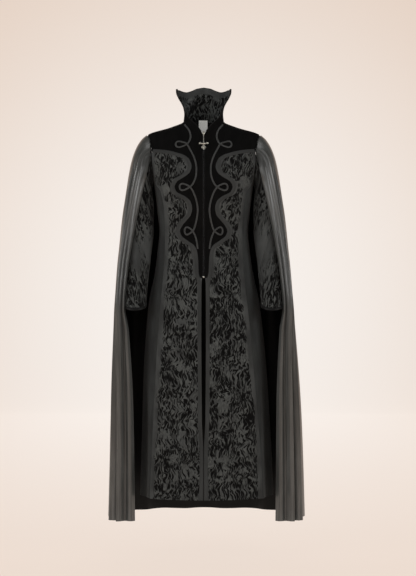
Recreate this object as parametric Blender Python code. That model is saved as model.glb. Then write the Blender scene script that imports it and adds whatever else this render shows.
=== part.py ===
"""Long caped zip coat, filled out as worn, built piece by piece as it is cut and sewn.

The front faces -Y, +X is to the right of someone who looks at the front, and +Z is up. The origin is the
middle of the neck at shoulder height, where the wearer's shoulders hold the coat. Lengths are in metres.
"""

import math

import bmesh
import bpy
import numpy as np

# Walls and gaps
CLOTH = 0.0020
LINING = 0.0010
SEAM = 0.0003
OVERLAY_LIFT = 0.0009
LINING_DEPTH = 0.0038
LINING_YOKE_DEPTH = 0.0026

# Heights of the main lines, measured up from the shoulders
FRONT_NECK = -0.043
BACK_NECK = 0.003
SHOULDER_END = -0.045
BACK_YOKE_SEAM = -0.125
UNDERARM = -0.215
PRINCESS_START = -0.190
ZIP_FOOT = -0.5206
HEM = -1.256
BACK_HEM_DROP = 0.026
CAPE_HEM = -1.333
BACK_ARMHOLE_LEVELS = (BACK_YOKE_SEAM, -0.155, -0.185, -0.203, -0.211)
BACK_LEVELS = np.linspace(UNDERARM, HEM, 14)

# The lining's side edge, as angles from the centre front: at the neck, past the armhole and down the side
LINING_TOP = -0.008
LINING_NECK_ANGLE = 0.62 * math.pi
LINING_PAST_ARMHOLE = 0.16
LINING_ARMHOLE_SPAN = (-0.170, -0.090)
LINING_SIDE_ANGLE = math.radians(105)
LINING_DEEPER_FROM = -0.27
LINING_DEEPER_REACH = 0.06
LINING_HEM_RISE = 0.004

# Neck and armhole
NECK_HALF_WIDTH = 0.068
ARMHOLE_HALF_DEPTH = 0.050
SQUARENESS = 0.03
RIGHT_FLARE = 0.045

# The coat's level sections
BODY_COLUMNS = ("level", "half_width", "front", "back")
BODY = (
    (0.004, 0.0660, 0.048, 0.052),
    (0.000, 0.0680, 0.050, 0.055),
    (-0.020, 0.1150, 0.056, 0.070),
    (-0.045, 0.1880, 0.068, 0.086),
    (-0.083, 0.1890, 0.091, 0.100),
    (-0.130, 0.1870, 0.112, 0.110),
    (-0.215, 0.1670, 0.130, 0.109),
    (-0.303, 0.1560, 0.118, 0.098),
    (-0.371, 0.1500, 0.107, 0.090),
    (-0.440, 0.1560, 0.108, 0.104),
    (-0.510, 0.1660, 0.116, 0.124),
    (-0.620, 0.1880, 0.129, 0.145),
    (-0.800, 0.2020, 0.144, 0.160),
    (-1.000, 0.2080, 0.156, 0.175),
    (-1.290, 0.2160, 0.170, 0.198),
)

# Soft folds of the skirt: the angle round the body from the centre front, and the height at the hem
SKIRT_FOLD_COLUMNS = ("angle", "width", "height")
SKIRT_FOLDS = (
    (24.0, 11.0, -0.004),
    (52.0, 9.0, 0.006),
    (70.0, 9.0, -0.006),
    (92.0, 10.0, 0.009),
    (112.0, 9.0, -0.009),
    (131.0, 10.0, 0.012),
    (150.0, 8.0, -0.010),
    (168.0, 9.0, 0.012),
)
SKIRT_FOLDS_START = -0.50

# The wavy edge of the velvet: the distance from the centre front at each level
WAVE_COLUMNS = ("level", "across")
WAVE = (
    (-0.0942, 0.1780),
    (-0.1021, 0.1192),
    (-0.1087, 0.0939),
    (-0.1190, 0.0650),
    (-0.1330, 0.0478),
    (-0.1580, 0.0396),
    (-0.1770, 0.0455),
    (-0.1930, 0.0640),
    (-0.2080, 0.0875),
    (-0.2250, 0.0953),
    (-0.2410, 0.0888),
    (-0.2580, 0.0592),
    (-0.2740, 0.0430),
    (-0.2960, 0.0377),
    (-0.3170, 0.0421),
    (-0.3370, 0.0575),
    (-0.3535, 0.0710),
    (-0.3710, 0.0780),
    (-0.3866, 0.0726),
    (-0.4030, 0.0525),
    (-0.4180, 0.0318),
    (-0.4350, 0.0225),
    (-0.4625, 0.0182),
    (-0.5206, 0.0162),
)
WAVE_SAMPLES = 700
SEAM_ROWS = 39
BAND_WIDTH = 0.0120
BAND_THICKNESS = 0.0010
BAND_GAP = 0.0004
BAND_ROWS = (56, 14)
BAND_SKIPS = (2, 20)
BAND_BELOW_ZIP = 0.030
BAND_TURN = 6
EDGE_SAMPLES = 60

# The front edge, below the neck and down the open slit
FRONT_EDGE_COLUMNS = ("level", "across")
FRONT_EDGE = (
    (-0.043, 0.0050),
    (-0.5206, 0.0050),
    (-0.545, 0.0068),
    (-0.700, 0.0075),
    (-1.000, 0.0055),
    (-1.100, 0.0012),
    (-1.256, 0.0012),
)

# Rows round the neck and down the edge, and how far below the neck's corner the edge starts
NECK_ROWS = 8
NECK_POINTS = 16
EDGE_ROWS = 12
NECK_CORNER = 0.0045
YOKE_FREE_LEVEL = -0.160

# The seam between the patterned front and the plain side
PRINCESS_COLUMNS = ("level", "across")
PRINCESS = (
    (-0.190, 0.1640),
    (-0.240, 0.1440),
    (-0.310, 0.1320),
    (-0.380, 0.1290),
    (-0.500, 0.1340),
    (-0.700, 0.1520),
    (-1.000, 0.1710),
    (-1.256, 0.1830),
)

# Soutache braid: where it runs, and the loops it makes at its crossings
BRAID_WIDTH = 0.0056
BRAID_THICKNESS = 0.0014
BRAID_HOP = 0.0019
BRAID_HOP_REACH = 0.020
BRAID_HOP_RAMP = 0.009
BRAID_SPACING = 0.0085
BRAID_SPAN_POINTS = 12
LOOP_POINTS = 9
BRAID_LOOP_COLUMNS = ("across", "level", "length", "height")
BRAID_LOOPS = (
    (0.0560, -0.0820, 0.0370, 0.0205),
    (0.0450, -0.2260, 0.0345, 0.0220),
    (0.0360, -0.3705, 0.0270, 0.0250),
)
BRAID_RUN_COLUMNS = ("before_loop", "across", "level")
BRAID_RUNS = (
    (0, 0.0640, -0.0130),
    (0, 0.0490, -0.0330),
    (0, 0.0435, -0.0540),
    (0, 0.0475, -0.0710),
    (1, 0.0445, -0.1010),
    (1, 0.0310, -0.1290),
    (1, 0.0240, -0.1590),
    (1, 0.0255, -0.1900),
    (1, 0.0345, -0.2140),
    (2, 0.0345, -0.2420),
    (2, 0.0245, -0.2690),
    (2, 0.0195, -0.2990),
    (2, 0.0225, -0.3290),
    (2, 0.0300, -0.3585),
    (3, 0.0275, -0.3890),
    (3, 0.0225, -0.4080),
    (3, 0.0195, -0.4300),
)

# Sleeves: level sections under the cap, then the tilt of the cuff
SLEEVE_COLUMNS = ("level", "inner", "outer", "middle_y", "half_depth", "tilt")
SLEEVE = (
    (-0.240, 0.1715, 0.2520, -0.004, 0.061, 0.0),
    (-0.300, 0.1665, 0.2570, -0.008, 0.059, 2.0),
    (-0.360, 0.1665, 0.2600, -0.014, 0.056, 5.0),
    (-0.425, 0.1730, 0.2610, -0.027, 0.052, 9.0),
    (-0.500, 0.1810, 0.2625, -0.047, 0.048, 13.0),
    (-0.560, 0.1870, 0.2640, -0.065, 0.045, 16.0),
    (-0.612, 0.1905, 0.2640, -0.081, 0.043, 17.0),
)
SLEEVE_AROUND = 14
SLEEVE_ROWS = 8
SLEEVE_CAP_STEPS = (0, 0.22, 0.48, 0.75)
SLEEVE_CAP_REACH = 0.030
SLEEVE_CAP_EDGE = 0.006
SLEEVE_CAP_MIDDLE = 0.47
SLEEVE_CAP_DROP = 0.020
SLEEVE_CAP_FALL = 0.30
SLEEVE_SEAM_STEP = 0.0020
CUFF_HEIGHT = 0.010
CUFF_SPREAD = 1.012
CUFF_THICKNESS = 0.0024

# Collar: level sections, then the front edge and the top line
COLLAR_COLUMNS = ("level", "half_width", "front", "back")
COLLAR = (
    (-0.043, 0.0660, 0.0620, 0.0545),
    (0.000, 0.0684, 0.0580, 0.0550),
    (0.028, 0.0660, 0.0505, 0.0535),
    (0.046, 0.0686, 0.0485, 0.0548),
    (0.060, 0.0745, 0.0482, 0.0560),
    (0.080, 0.0862, 0.0500, 0.0585),
    (0.100, 0.0935, 0.0545, 0.0612),
    (0.122, 0.0940, 0.0560, 0.0640),
)
COLLAR_EDGE_COLUMNS = ("up", "angle", "level")
COLLAR_EDGE = (
    (0.00, 176.0, -0.0425),
    (0.20, 158.0, -0.0135),
    (0.42, 124.0, 0.0170),
    (0.58, 104.0, 0.0400),
    (0.80, 101.0, 0.0750),
    (1.00, 108.0, 0.1080),
)
COLLAR_TOP_COLUMNS = ("along", "level")
COLLAR_TOP = (
    (0.00, 0.1212),
    (0.13, 0.1170),
    (0.25, 0.1083),
    (0.37, 0.1033),
    (0.47, 0.1050),
    (0.58, 0.1080),
    (0.75, 0.1085),
    (1.00, 0.1080),
)
PIPING = 0.0024

# Cape: level sections from the front edge, round the side, to the centre back
CAPE_COLUMNS = ("level", "edge_x", "edge_y", "side_x", "side_y", "back_y")
CAPE = (
    (-0.043, 0.1870, -0.012, 0.2040, 0.004, 0.104),
    (-0.083, 0.1840, -0.044, 0.2250, 0.004, 0.114),
    (-0.133, 0.1830, -0.064, 0.2430, 0.003, 0.126),
    (-0.209, 0.1970, -0.077, 0.2570, 0.002, 0.138),
    (-0.273, 0.2110, -0.081, 0.2650, 0.002, 0.146),
    (-0.354, 0.2270, -0.085, 0.2745, 0.003, 0.154),
    (-0.426, 0.2400, -0.093, 0.2815, 0.004, 0.162),
    (-0.489, 0.2500, -0.102, 0.2880, 0.006, 0.170),
    (-0.620, 0.2610, -0.116, 0.2975, 0.010, 0.188),
    (-0.700, 0.2500, -0.112, 0.3022, 0.012, 0.198),
    (-0.937, 0.2380, -0.106, 0.3140, 0.018, 0.226),
    (-1.333, 0.2330, -0.100, 0.3262, 0.026, 0.270),
)
CAPE_FRONT_TOP = -0.133
CAPE_FLARE = 0.0225
CAPE_FLARE_SPAN = (-0.40, 0.80)
CAPE_TOP_BLEND = 0.038
CAPE_FULLNESS = 0.07
CAPE_SEAM_LIFT = 0.0062
CAPE_SEAM_OUT = 0.003
CAPE_FALLS = (
    0.000, 0.012, 0.030, 0.055, 0.090, 0.135, 0.190, 0.250,
    0.320, 0.400, 0.490, 0.590, 0.700, 0.840, 1.000,
)

# Folds of the cape: along runs from -1 at the front edge, 0 at the side, to 1 at the centre back
CAPE_FOLD_REACH = 0.75
CAPE_FOLD_COLUMNS = ("along", "width", "height", "start")
CAPE_FOLDS = (
    (-0.93, 0.05, 0.003, -0.55),
    (-0.82, 0.06, -0.006, -0.15),
    (-0.70, 0.07, 0.009, -0.10),
    (-0.56, 0.07, -0.009, -0.35),
    (-0.40, 0.09, 0.009, -0.20),
    (-0.18, 0.10, -0.006, -0.50),
    (0.10, 0.09, 0.010, -0.30),
    (0.26, 0.08, -0.012, -0.35),
    (0.42, 0.09, 0.014, -0.25),
    (0.58, 0.08, -0.014, -0.35),
    (0.73, 0.08, 0.014, -0.25),
    (0.88, 0.07, -0.013, -0.35),
    (1.00, 0.07, 0.012, -0.30),
)
CAPE_STATIONS = (
    -1.00, -0.92, -0.82, -0.70, -0.56, -0.40, -0.20, 0.00, 0.10,
    0.26, 0.42, 0.58, 0.73, 0.88, 1.00,
)

# Zip and pull
CHAIN_HALF_WIDTH = 0.0022
CHAIN_TOP = -0.0500
TAPE_TOP = -0.0405
TAPE_WIDTH = 0.0150
TAPE_DEPTH = 0.0016
TAPE_THICKNESS = 0.0007
CHAIN_THICKNESS = 0.0024
STOP_SIZE = (0.0060, 0.0040, 0.0032)
SLIDER_LEVEL = -0.0420
SLIDER_SIZE = (0.0086, 0.0042, 0.0110)
SLIDER_SINK = 0.0002
BRIDGE_HEIGHT = 0.0034
BRIDGE_HALF_LENGTH = 0.0036
BRIDGE_HALF_WIDTH = 0.0009
BRIDGE_WALL = 0.0010
BRIDGE_FOOT = 0.0006
BRIDGE_SHOULDER = (0.0012, 0.0020)
HINGE_OUT = 0.00135
HINGE_DOWN = 0.0008
PENDANT_REST = 0.062
RING_RADIUS = 0.0040
RING_WIRE = 0.0008
RING_SIDES = (18, 6)
BAIL_RADIUS = 0.0021
BAIL_WIRE = 0.0006
BAIL_DROP = 0.0004
BAIL_SIDES = (14, 6)
PENDANT_THICKNESS = 0.0022
PENDANT_TIP_CLEARANCE = 0.0021
PENDANT_COLUMNS = ("down", "half_width")
PENDANT = (
    (0.0021, 0.0014),
    (0.0315, 0.0018),
    (0.0330, 0.0085),
    (0.0315, 0.0150),
    (0.0385, 0.0155),
    (0.0412, 0.0080),
    (0.0418, 0.0022),
    (0.0475, 0.0026),
    (0.0500, 0.0072),
    (0.0555, 0.0060),
    (0.0582, 0.0026),
    (0.0612, 0.0000),
)

LABEL_WIDTH = 0.0295
LABEL_HEIGHT = 0.044
LABEL_MIDDLE = -0.002
LABEL_TOP = 0.0095
LABEL_BACK = 0.0502
LABEL_CURVE = 0.085
LABEL_LEAN = 0.04
LABEL_THICKNESS = 0.0006

FINISHES = {
    "velvet": ((0.006, 0.006, 0.006), 0.85, 0.0),
    "patterned_cloth": ((0.030, 0.032, 0.032), 0.60, 0.0),
    "plain_cloth": ((0.036, 0.038, 0.038), 0.80, 0.0),
    "satin": ((0.060, 0.062, 0.061), 0.40, 0.0),
    "lining": ((0.006, 0.006, 0.006), 0.50, 0.0),
    "band": ((0.045, 0.047, 0.047), 0.70, 0.0),
    "braid": ((0.060, 0.062, 0.062), 0.55, 0.0),
    "zip": ((0.020, 0.020, 0.020), 0.35, 0.8),
    "silver": ((0.520, 0.520, 0.500), 0.35, 1.0),
    "label": ((0.750, 0.750, 0.740), 0.50, 0.0),
}
SIDES = (("left", -1), ("right", 1))


def column(table, names, name):
    """One named column of a table, as an array."""
    return np.array([row[names.index(name)] for row in table], float)


def smooth(knots, values, at):
    """A smooth curve through the values: cubic pieces that never overshoot a knot's value."""
    order = np.argsort(knots)
    knots, values = np.asarray(knots, float)[order], np.asarray(values, float)[order]
    at = np.clip(at, knots[0], knots[-1])
    span = np.diff(knots)
    rise = np.diff(values) / span
    slope = np.zeros_like(values)
    same = rise[:-1] * rise[1:] > 0
    slope[1:-1][same] = (2 * rise[:-1] * rise[1:])[same] / (rise[:-1] + rise[1:])[same]
    slope[0], slope[-1] = rise[0], rise[-1]
    i = np.clip(np.searchsorted(knots, at, side="right") - 1, 0, len(span) - 1)
    t = (at - knots[i]) / span[i]
    start = (1 + 2 * t) * (1 - t) ** 2 * values[i] + t * (1 - t) ** 2 * span[i] * slope[i]
    end = t * t * (3 - 2 * t) * values[i + 1] + t * t * (t - 1) * span[i] * slope[i + 1]
    return start + end


def named(table, names):
    """The rows of a table, each as a dictionary by column name."""
    return [dict(zip(names, row)) for row in table]


def read(table, names, name, at, key="level"):
    """The named column's smooth value at the given levels."""
    return smooth(column(table, names, key), column(table, names, name), at)


def step(value):
    """0 below 0, 1 above 1, and an S-curve between."""
    value = np.clip(value, 0.0, 1.0)
    return value * value * (3 - 2 * value)


def unit(vectors):
    """The same directions at length 1."""
    return vectors / np.maximum(np.linalg.norm(vectors, axis=-1, keepdims=True), 1e-12)


def resample(points, count):
    """The polyline's points at equal steps of its length."""
    length = np.concatenate([[0], np.cumsum(np.linalg.norm(np.diff(points, axis=0), axis=1))])
    at = np.linspace(0, length[-1], count)
    return np.stack([np.interp(at, length, points[:, k]) for k in range(points.shape[1])], axis=1)


def spline(points, per_span):
    """A smooth curve through the points, each span a Catmull-Rom cubic."""
    padded = np.vstack([2 * points[0] - points[1], points, 2 * points[-1] - points[-2]])
    t = np.linspace(0, 1, per_span, endpoint=False)[:, None]
    pieces = []
    for before, start, end, after in zip(padded[:-3], padded[1:-2], padded[2:-1], padded[3:]):
        pieces.append(0.5 * (2 * start + (end - before) * t
                             + (2 * before - 5 * start + 4 * end - after) * t ** 2
                             + (3 * start - before - 3 * end + after) * t ** 3))
    return np.vstack(pieces + [points[-1:]])


# The coat's body

def skirt_scale(angle, level):
    """How far the skirt's soft folds push a section out, as a factor that grows towards the hem."""
    depth = step((SKIRT_FOLDS_START - level) / (SKIRT_FOLDS_START - HEM))
    out = np.zeros_like(angle)
    for fold in named(SKIRT_FOLDS, SKIRT_FOLD_COLUMNS):
        out = out + fold["height"] * np.exp(-((np.degrees(angle) - fold["angle"]) / fold["width"]) ** 2)
    return 1 + out * depth / 0.2


def body(angle, level, side):
    """The coat's outer surface. The angle runs from 0 at the centre front to pi at the centre back."""
    angle, level = np.broadcast_arrays(np.asarray(angle, float), np.asarray(level, float))
    half_width = read(BODY, BODY_COLUMNS, "half_width", level)
    front = read(BODY, BODY_COLUMNS, "front", level)
    back = read(BODY, BODY_COLUMNS, "back", level)
    half_width = half_width * (1 + side * RIGHT_FLARE * step((-0.45 - level) / 0.75))
    depth = np.where(np.cos(angle) > 0, front, back)
    across = half_width * (np.sin(angle) + SQUARENESS * np.sin(3 * angle)) / (1 - SQUARENESS)
    along = -depth * (np.cos(angle) - SQUARENESS * np.cos(3 * angle)) / (1 - SQUARENESS)
    scale = skirt_scale(angle, level)
    return np.stack([side * across * scale, along * scale, level], axis=-1)


def body_normal(angle, level, side):
    """The outward direction of the coat's surface, from its slopes round and down the body."""
    turn, drop = 1e-3, 1e-4
    angle, level = np.broadcast_arrays(np.asarray(angle, float), np.asarray(level, float))
    inner = np.clip(angle, turn, math.pi - turn)
    around = body(inner + turn, level, 1) - body(inner - turn, level, 1)
    up = body(inner, level + drop, 1) - body(inner, level - drop, 1)
    normal = unit(np.cross(around, up))
    normal[..., 0] = np.where((angle < turn) | (angle > math.pi - turn), 0.0, normal[..., 0])
    return unit(normal * np.array([side, 1.0, 1.0]))


ANGLE_TABLE = np.linspace(0, math.pi / 2, 400)
ACROSS_TABLE = (np.sin(ANGLE_TABLE) + SQUARENESS * np.sin(3 * ANGLE_TABLE)) / (1 - SQUARENESS)
ALONG_TABLE = (np.cos(ANGLE_TABLE) - SQUARENESS * np.cos(3 * ANGLE_TABLE)) / (1 - SQUARENESS)


def angle_across(across, level):
    """The angle on the front at which the body is this far from the middle."""
    share = np.asarray(across, float) / read(BODY, BODY_COLUMNS, "half_width", level)
    return np.interp(share, ACROSS_TABLE, ANGLE_TABLE)


def armhole(level, back=False):
    """The angle of the armhole's front or back edge, an oval in side view."""
    middle = (SHOULDER_END + UNDERARM) / 2
    reach = (SHOULDER_END - UNDERARM) / 2
    depth = ARMHOLE_HALF_DEPTH * np.sqrt(np.clip(1 - ((level - middle) / reach) ** 2, 0, 1))
    whole = read(BODY, BODY_COLUMNS, "back" if back else "front", level)
    share = np.clip(depth / whole, 0, 1)
    from_middle = np.interp(-share, -ALONG_TABLE, ANGLE_TABLE)
    return math.pi - from_middle if back else from_middle


def neckline(across):
    """The level of the front neckline at a distance from the middle."""
    return FRONT_NECK * (1 - (across / NECK_HALF_WIDTH) ** 2)


def ruled(first, last, columns):
    """Angles and levels on straight lines from each point of one edge to its partner on the other."""
    share = np.linspace(0, 1, columns + 1)[None, :, None]
    return first[:, None, :] * (1 - share) + last[:, None, :] * share


def edge_points(across, level):
    """An edge given in front view, as angle and level."""
    return np.stack([angle_across(across, level), level], axis=1)


def wave_line(offset):
    """The wavy edge in front view, moved outward from the velvet by an offset."""
    level = np.linspace(WAVE[0][0], WAVE[-1][0], WAVE_SAMPLES)
    across = read(WAVE, WAVE_COLUMNS, "across", level)
    points = np.stack([across, level], axis=1)
    ahead = unit(np.gradient(points, axis=0))
    return points + offset * np.stack([-ahead[:, 1], ahead[:, 0]], axis=1)


def wave_seam():
    """The seam under the middle of the band, sampled evenly and turned to angles and levels."""
    seam = resample(wave_line(BAND_WIDTH / 2), SEAM_ROWS)
    seam[-1, 1] = ZIP_FOOT
    return edge_points(seam[:, 0], seam[:, 1])


# Solids

def finish(name):
    """The Principled material of this finish, made once."""
    made = bpy.data.materials.get(name)
    if made:
        return made
    colour, roughness, metallic = FINISHES[name]
    made = bpy.data.materials.new(name)
    made.use_nodes = True
    shader = made.node_tree.nodes["Principled BSDF"]
    shader.inputs["Base Color"].default_value = (*colour, 1)
    shader.inputs["Roughness"].default_value = roughness
    shader.inputs["Metallic"].default_value = metallic
    made.diffuse_color = (*colour, 1)
    return made


def solid(name, points, faces, look, at=(0, 0, 0)):
    """A closed mesh object with its faces turned outward and its origin at a point."""
    mesh = bpy.data.meshes.new(name)
    mesh.from_pydata((np.asarray(points) - np.asarray(at)).tolist(), [], faces)
    work = bmesh.new()
    work.from_mesh(mesh)
    bmesh.ops.recalc_face_normals(work, faces=work.faces)
    if work.calc_volume(signed=True) < 0:
        bmesh.ops.reverse_faces(work, faces=work.faces)
    work.to_mesh(mesh)
    work.free()
    mesh.shade_smooth()
    mesh.set_sharp_from_angle(angle=math.radians(40))
    item = bpy.data.objects.new(name, mesh)
    item.location = at
    mesh.materials.append(finish(look))
    bpy.context.scene.collection.objects.link(item)
    return item


def grid_faces(rows, columns, start, wrap):
    """Quads of a grid whose points begin at an index; a wrapped grid closes across its columns."""
    last = columns if wrap else columns - 1
    return [[start + r * columns + c, start + r * columns + (c + 1) % columns,
             start + (r + 1) * columns + (c + 1) % columns, start + (r + 1) * columns + c]
            for r in range(rows - 1) for c in range(last)]


def split_cells(grid, wrap):
    """Triangles of a grid, each cell split along its shorter diagonal, for both sides of a wall alike."""
    rows, columns = grid.shape[:2]
    r, c = np.meshgrid(np.arange(rows - 1), np.arange(columns if wrap else columns - 1), indexing="ij")
    n = (c + 1) % columns
    a, b = (r * columns + c).ravel(), (r * columns + n).ravel()
    d, e = ((r + 1) * columns + n).ravel(), ((r + 1) * columns + c).ravel()
    points = grid.reshape(-1, 3)
    down = np.linalg.norm(points[a] - points[d], axis=1) <= np.linalg.norm(points[b] - points[e], axis=1)
    third = np.where(down, d, e)
    fourth = np.where(down, a, b)
    return np.stack([a, b, third], axis=1).tolist() + np.stack([fourth, d, e], axis=1).tolist()


def wall(name, outer, normals, thickness, look, wrap=False, inset=SEAM / 2):
    """A cloth wall: the outer grid, the same grid moved in by the thickness, and strips round its edges."""
    outer = outer.copy()
    if not wrap:
        outer[:, 0] += inset * unit(outer[:, 1] - outer[:, 0])
        outer[:, -1] += inset * unit(outer[:, -2] - outer[:, -1])
    outer[0] += inset * unit(outer[1] - outer[0])
    outer[-1] += inset * unit(outer[-2] - outer[-1])
    inner = outer - normals * thickness
    rows, columns = outer.shape[:2]
    count = rows * columns
    cells = split_cells(outer, wrap)
    faces = cells + [[count + k for k in cell[::-1]] for cell in cells]
    last = columns if wrap else columns - 1
    for row in (0, (rows - 1) * columns):
        faces += [[row + c, row + c + count, row + (c + 1) % columns + count, row + (c + 1) % columns]
                  for c in range(last)]
    if not wrap:
        for c in (0, columns - 1):
            faces += [[r * columns + c, r * columns + c + count,
                       (r + 1) * columns + c + count, (r + 1) * columns + c] for r in range(rows - 1)]
    points = np.concatenate([outer.reshape(-1, 3), inner.reshape(-1, 3)])
    return solid(name, points, faces, look)


def body_wall(name, cells, side, look, thickness=CLOTH, depth=0.0):
    """A wall on the coat's surface, from a grid of angles and levels, set in by a depth."""
    points = body(cells[..., 0], cells[..., 1], side)
    normals = body_normal(cells[..., 0], cells[..., 1], side)
    return wall(name, points - normals * depth, normals, thickness, look)


def strip(name, middle, across, normals, width, thickness, look, at=(0, 0, 0)):
    """A flat strip along a path, its underside on the path's points."""
    half = across * width / 2
    corners = [middle - half, middle + half, middle + half + normals * thickness,
               middle - half + normals * thickness]
    points = np.stack(corners, axis=1).reshape(-1, 3)
    faces = grid_faces(len(middle), 4, 0, True)
    faces += [[0, 1, 2, 3], [len(points) - 1 - k for k in range(4)]]
    return solid(name, points, faces, look, at)


def front_strip(name, line, side, width, thickness, look, lift):
    """A strip laid on the coat's front along a line given in front view, lifted off the cloth."""
    angle = angle_across(line[:, 0], line[:, 1])
    normals = body_normal(angle, line[:, 1], side)
    middle = body(angle, line[:, 1], side) + normals * np.asarray(lift).reshape(-1, 1)
    ahead = unit(np.gradient(middle, axis=0))
    return strip(name, middle, unit(np.cross(normals, ahead)), normals, width, thickness, look)


# Front pieces

def yoke_rows():
    """The velvet's two edges: neckline then front edge, and armhole then wavy seam, row by row."""
    seam = wave_seam()
    hole_level = np.linspace(SHOULDER_END, WAVE[0][0] - 0.003, 4)[:-1]
    hole = np.stack([armhole(hole_level), hole_level], axis=1)
    outer = np.vstack([hole, seam])
    free = int(np.argmax(outer[:, 1] < YOKE_FREE_LEVEL))
    across = NECK_HALF_WIDTH + (FRONT_EDGE[0][1] - NECK_HALF_WIDTH) * np.linspace(0, 1, NECK_POINTS) ** 1.5
    neck = np.stack([across, neckline(across)], axis=1)
    edge_level = np.linspace(FRONT_NECK - NECK_CORNER, outer[free, 1], EDGE_ROWS)
    edge = np.stack([np.full(EDGE_ROWS, FRONT_EDGE[0][1]), edge_level], axis=1)
    top = np.vstack([resample(neck, NECK_ROWS), resample(edge, free + 1 - NECK_ROWS)])
    level = outer[free + 1:, 1]
    rest = np.stack([read(FRONT_EDGE, FRONT_EDGE_COLUMNS, "across", level), level], axis=1)
    inner = np.vstack([top, rest])
    return edge_points(inner[:, 0], inner[:, 1]), outer


def panel_rows():
    """The patterned front's two edges: wavy seam then front edge, and armhole then princess seam."""
    seam = wave_seam()
    skirt_level = np.concatenate([[ZIP_FOOT - 0.007], np.linspace(-0.56, HEM, 12)])
    skirt = edge_points(read(FRONT_EDGE, FRONT_EDGE_COLUMNS, "across", skirt_level), skirt_level)
    first = np.vstack([seam, skirt])
    keys = (first[0, 1], -0.1700, -0.2400, -0.3000, HEM)
    values = (WAVE[0][0] - 0.010, PRINCESS_START, -0.2500, -0.3000, HEM)
    level = -np.interp(-first[:, 1], -np.array(keys), -np.array(values))
    start = int(np.argmin(np.abs(level - PRINCESS_START)))
    level[start] = PRINCESS_START
    princess = angle_across(read(PRINCESS, PRINCESS_COLUMNS, "across", level), level)
    blend = step((PRINCESS_START - level) / 0.05)
    princess = armhole(np.maximum(level, UNDERARM + 0.012)) * (1 - blend) + princess * blend
    return first, np.stack([princess, level], axis=1), start


def make_fronts(label, side):
    """Velvet yoke, patterned front and plain side front of one side."""
    inner, outer = yoke_rows()
    body_wall(f"front_yoke_{label}", ruled(inner, outer, columns=4), side, "velvet")
    first, last, start = panel_rows()
    body_wall(f"front_panel_{label}", ruled(first, last, columns=5), side, "patterned_cloth")
    princess = last[start:]
    level = -np.interp(-princess[:, 1], (-PRINCESS_START, 0.30, -HEM), (-UNDERARM, 0.305, -HEM))
    seam = np.stack([np.full(len(level), math.pi / 2), level], axis=1)
    body_wall(f"side_front_{label}", ruled(princess, seam, columns=3), side, "plain_cloth")


def make_edge_band(label, side):
    """The plain strip on the wavy seam, carried on down the front edge to the hem."""
    wave = wave_line(BAND_WIDTH / 2)[BAND_SKIPS[0]:-BAND_SKIPS[1]]
    level = np.linspace(ZIP_FOOT - BAND_BELOW_ZIP, HEM + SEAM, EDGE_SAMPLES)
    edge = read(FRONT_EDGE, FRONT_EDGE_COLUMNS, "across", level) + BAND_WIDTH / 2 + BAND_GAP
    line = np.vstack([wave, np.stack([edge, level], axis=1)])
    turn = len(wave) + BAND_TURN
    line = np.vstack([resample(line[:turn], BAND_ROWS[0])[:-1], resample(line[turn - 1:], BAND_ROWS[1])])
    lift = np.full(len(line), OVERLAY_LIFT)
    front_strip(f"edge_band_{label}", line, side, BAND_WIDTH, BAND_THICKNESS, "band", lift)


def braid_line():
    """The braid's route in front view, and where along it each loop closes on itself."""
    turns = np.linspace(0, 1, LOOP_POINTS)
    runs = named(BRAID_RUNS, BRAID_RUN_COLUMNS)
    pieces, closings, total = [], [], 0
    for index, loop in enumerate([*named(BRAID_LOOPS, BRAID_LOOP_COLUMNS), None]):
        run = np.array([(row["across"], row["level"]) for row in runs if row["before_loop"] == index])
        pieces.append(run)
        total += len(run)
        if loop:
            across = loop["across"] + loop["length"] * np.sin(math.pi * turns)
            level = loop["level"] - loop["height"] / 2 * np.sin(2 * math.pi * turns)
            pieces.append(np.stack([across, level], axis=1))
            total += len(turns)
            closings.append(total - 1)
    return np.vstack(pieces), closings


def make_braid(label, side):
    """Flat braid on the velvet; at each loop the second pass hops over the first."""
    knots, closings = braid_line()
    dense = spline(knots, BRAID_SPAN_POINTS)
    length = np.concatenate([[0], np.cumsum(np.linalg.norm(np.diff(dense, axis=0), axis=1))])
    line = resample(dense, int(length[-1] / BRAID_SPACING) + 1)
    at = np.linspace(0, length[-1], len(line))
    lift = np.full(len(line), OVERLAY_LIFT)
    for closing in closings:
        away = np.abs(at - length[closing * BRAID_SPAN_POINTS])
        hop = BRAID_HOP * step((BRAID_HOP_REACH - away) / BRAID_HOP_RAMP)
        lift = np.maximum(lift, OVERLAY_LIFT + hop)
    front_strip(f"braid_{label}", line, side, BRAID_WIDTH, BRAID_THICKNESS, "braid", lift)


# Back pieces

def make_backs(label, side):
    """Plain back panel of one side, from the yoke seam to the hem, with a seam at the centre back."""
    level = np.concatenate([BACK_ARMHOLE_LEVELS, BACK_LEVELS])
    side_edge = np.where(level > UNDERARM + 1e-6, armhole(level, back=True), math.pi / 2)
    first = np.stack([side_edge, level], axis=1)
    drop = BACK_HEM_DROP * step((UNDERARM - level) / (UNDERARM - HEM))
    last = np.stack([np.full(len(level), math.pi), level - drop], axis=1)
    body_wall(f"back_panel_{label}", ruled(first, last, columns=6), side, "plain_cloth")


def both_halves(cells, depth=0.0):
    """Points and normals of a piece in one across the centre back, from the cells of one half."""
    halves = []
    for side in (-1, 1):
        normals = body_normal(cells[..., 0], cells[..., 1], side)
        halves.append((body(cells[..., 0], cells[..., 1], side) - normals * depth, normals))
    points, normals = [np.concatenate([halves[0][k], halves[1][k][:, -2::-1]], axis=1) for k in (0, 1)]
    return points, normals


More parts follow.
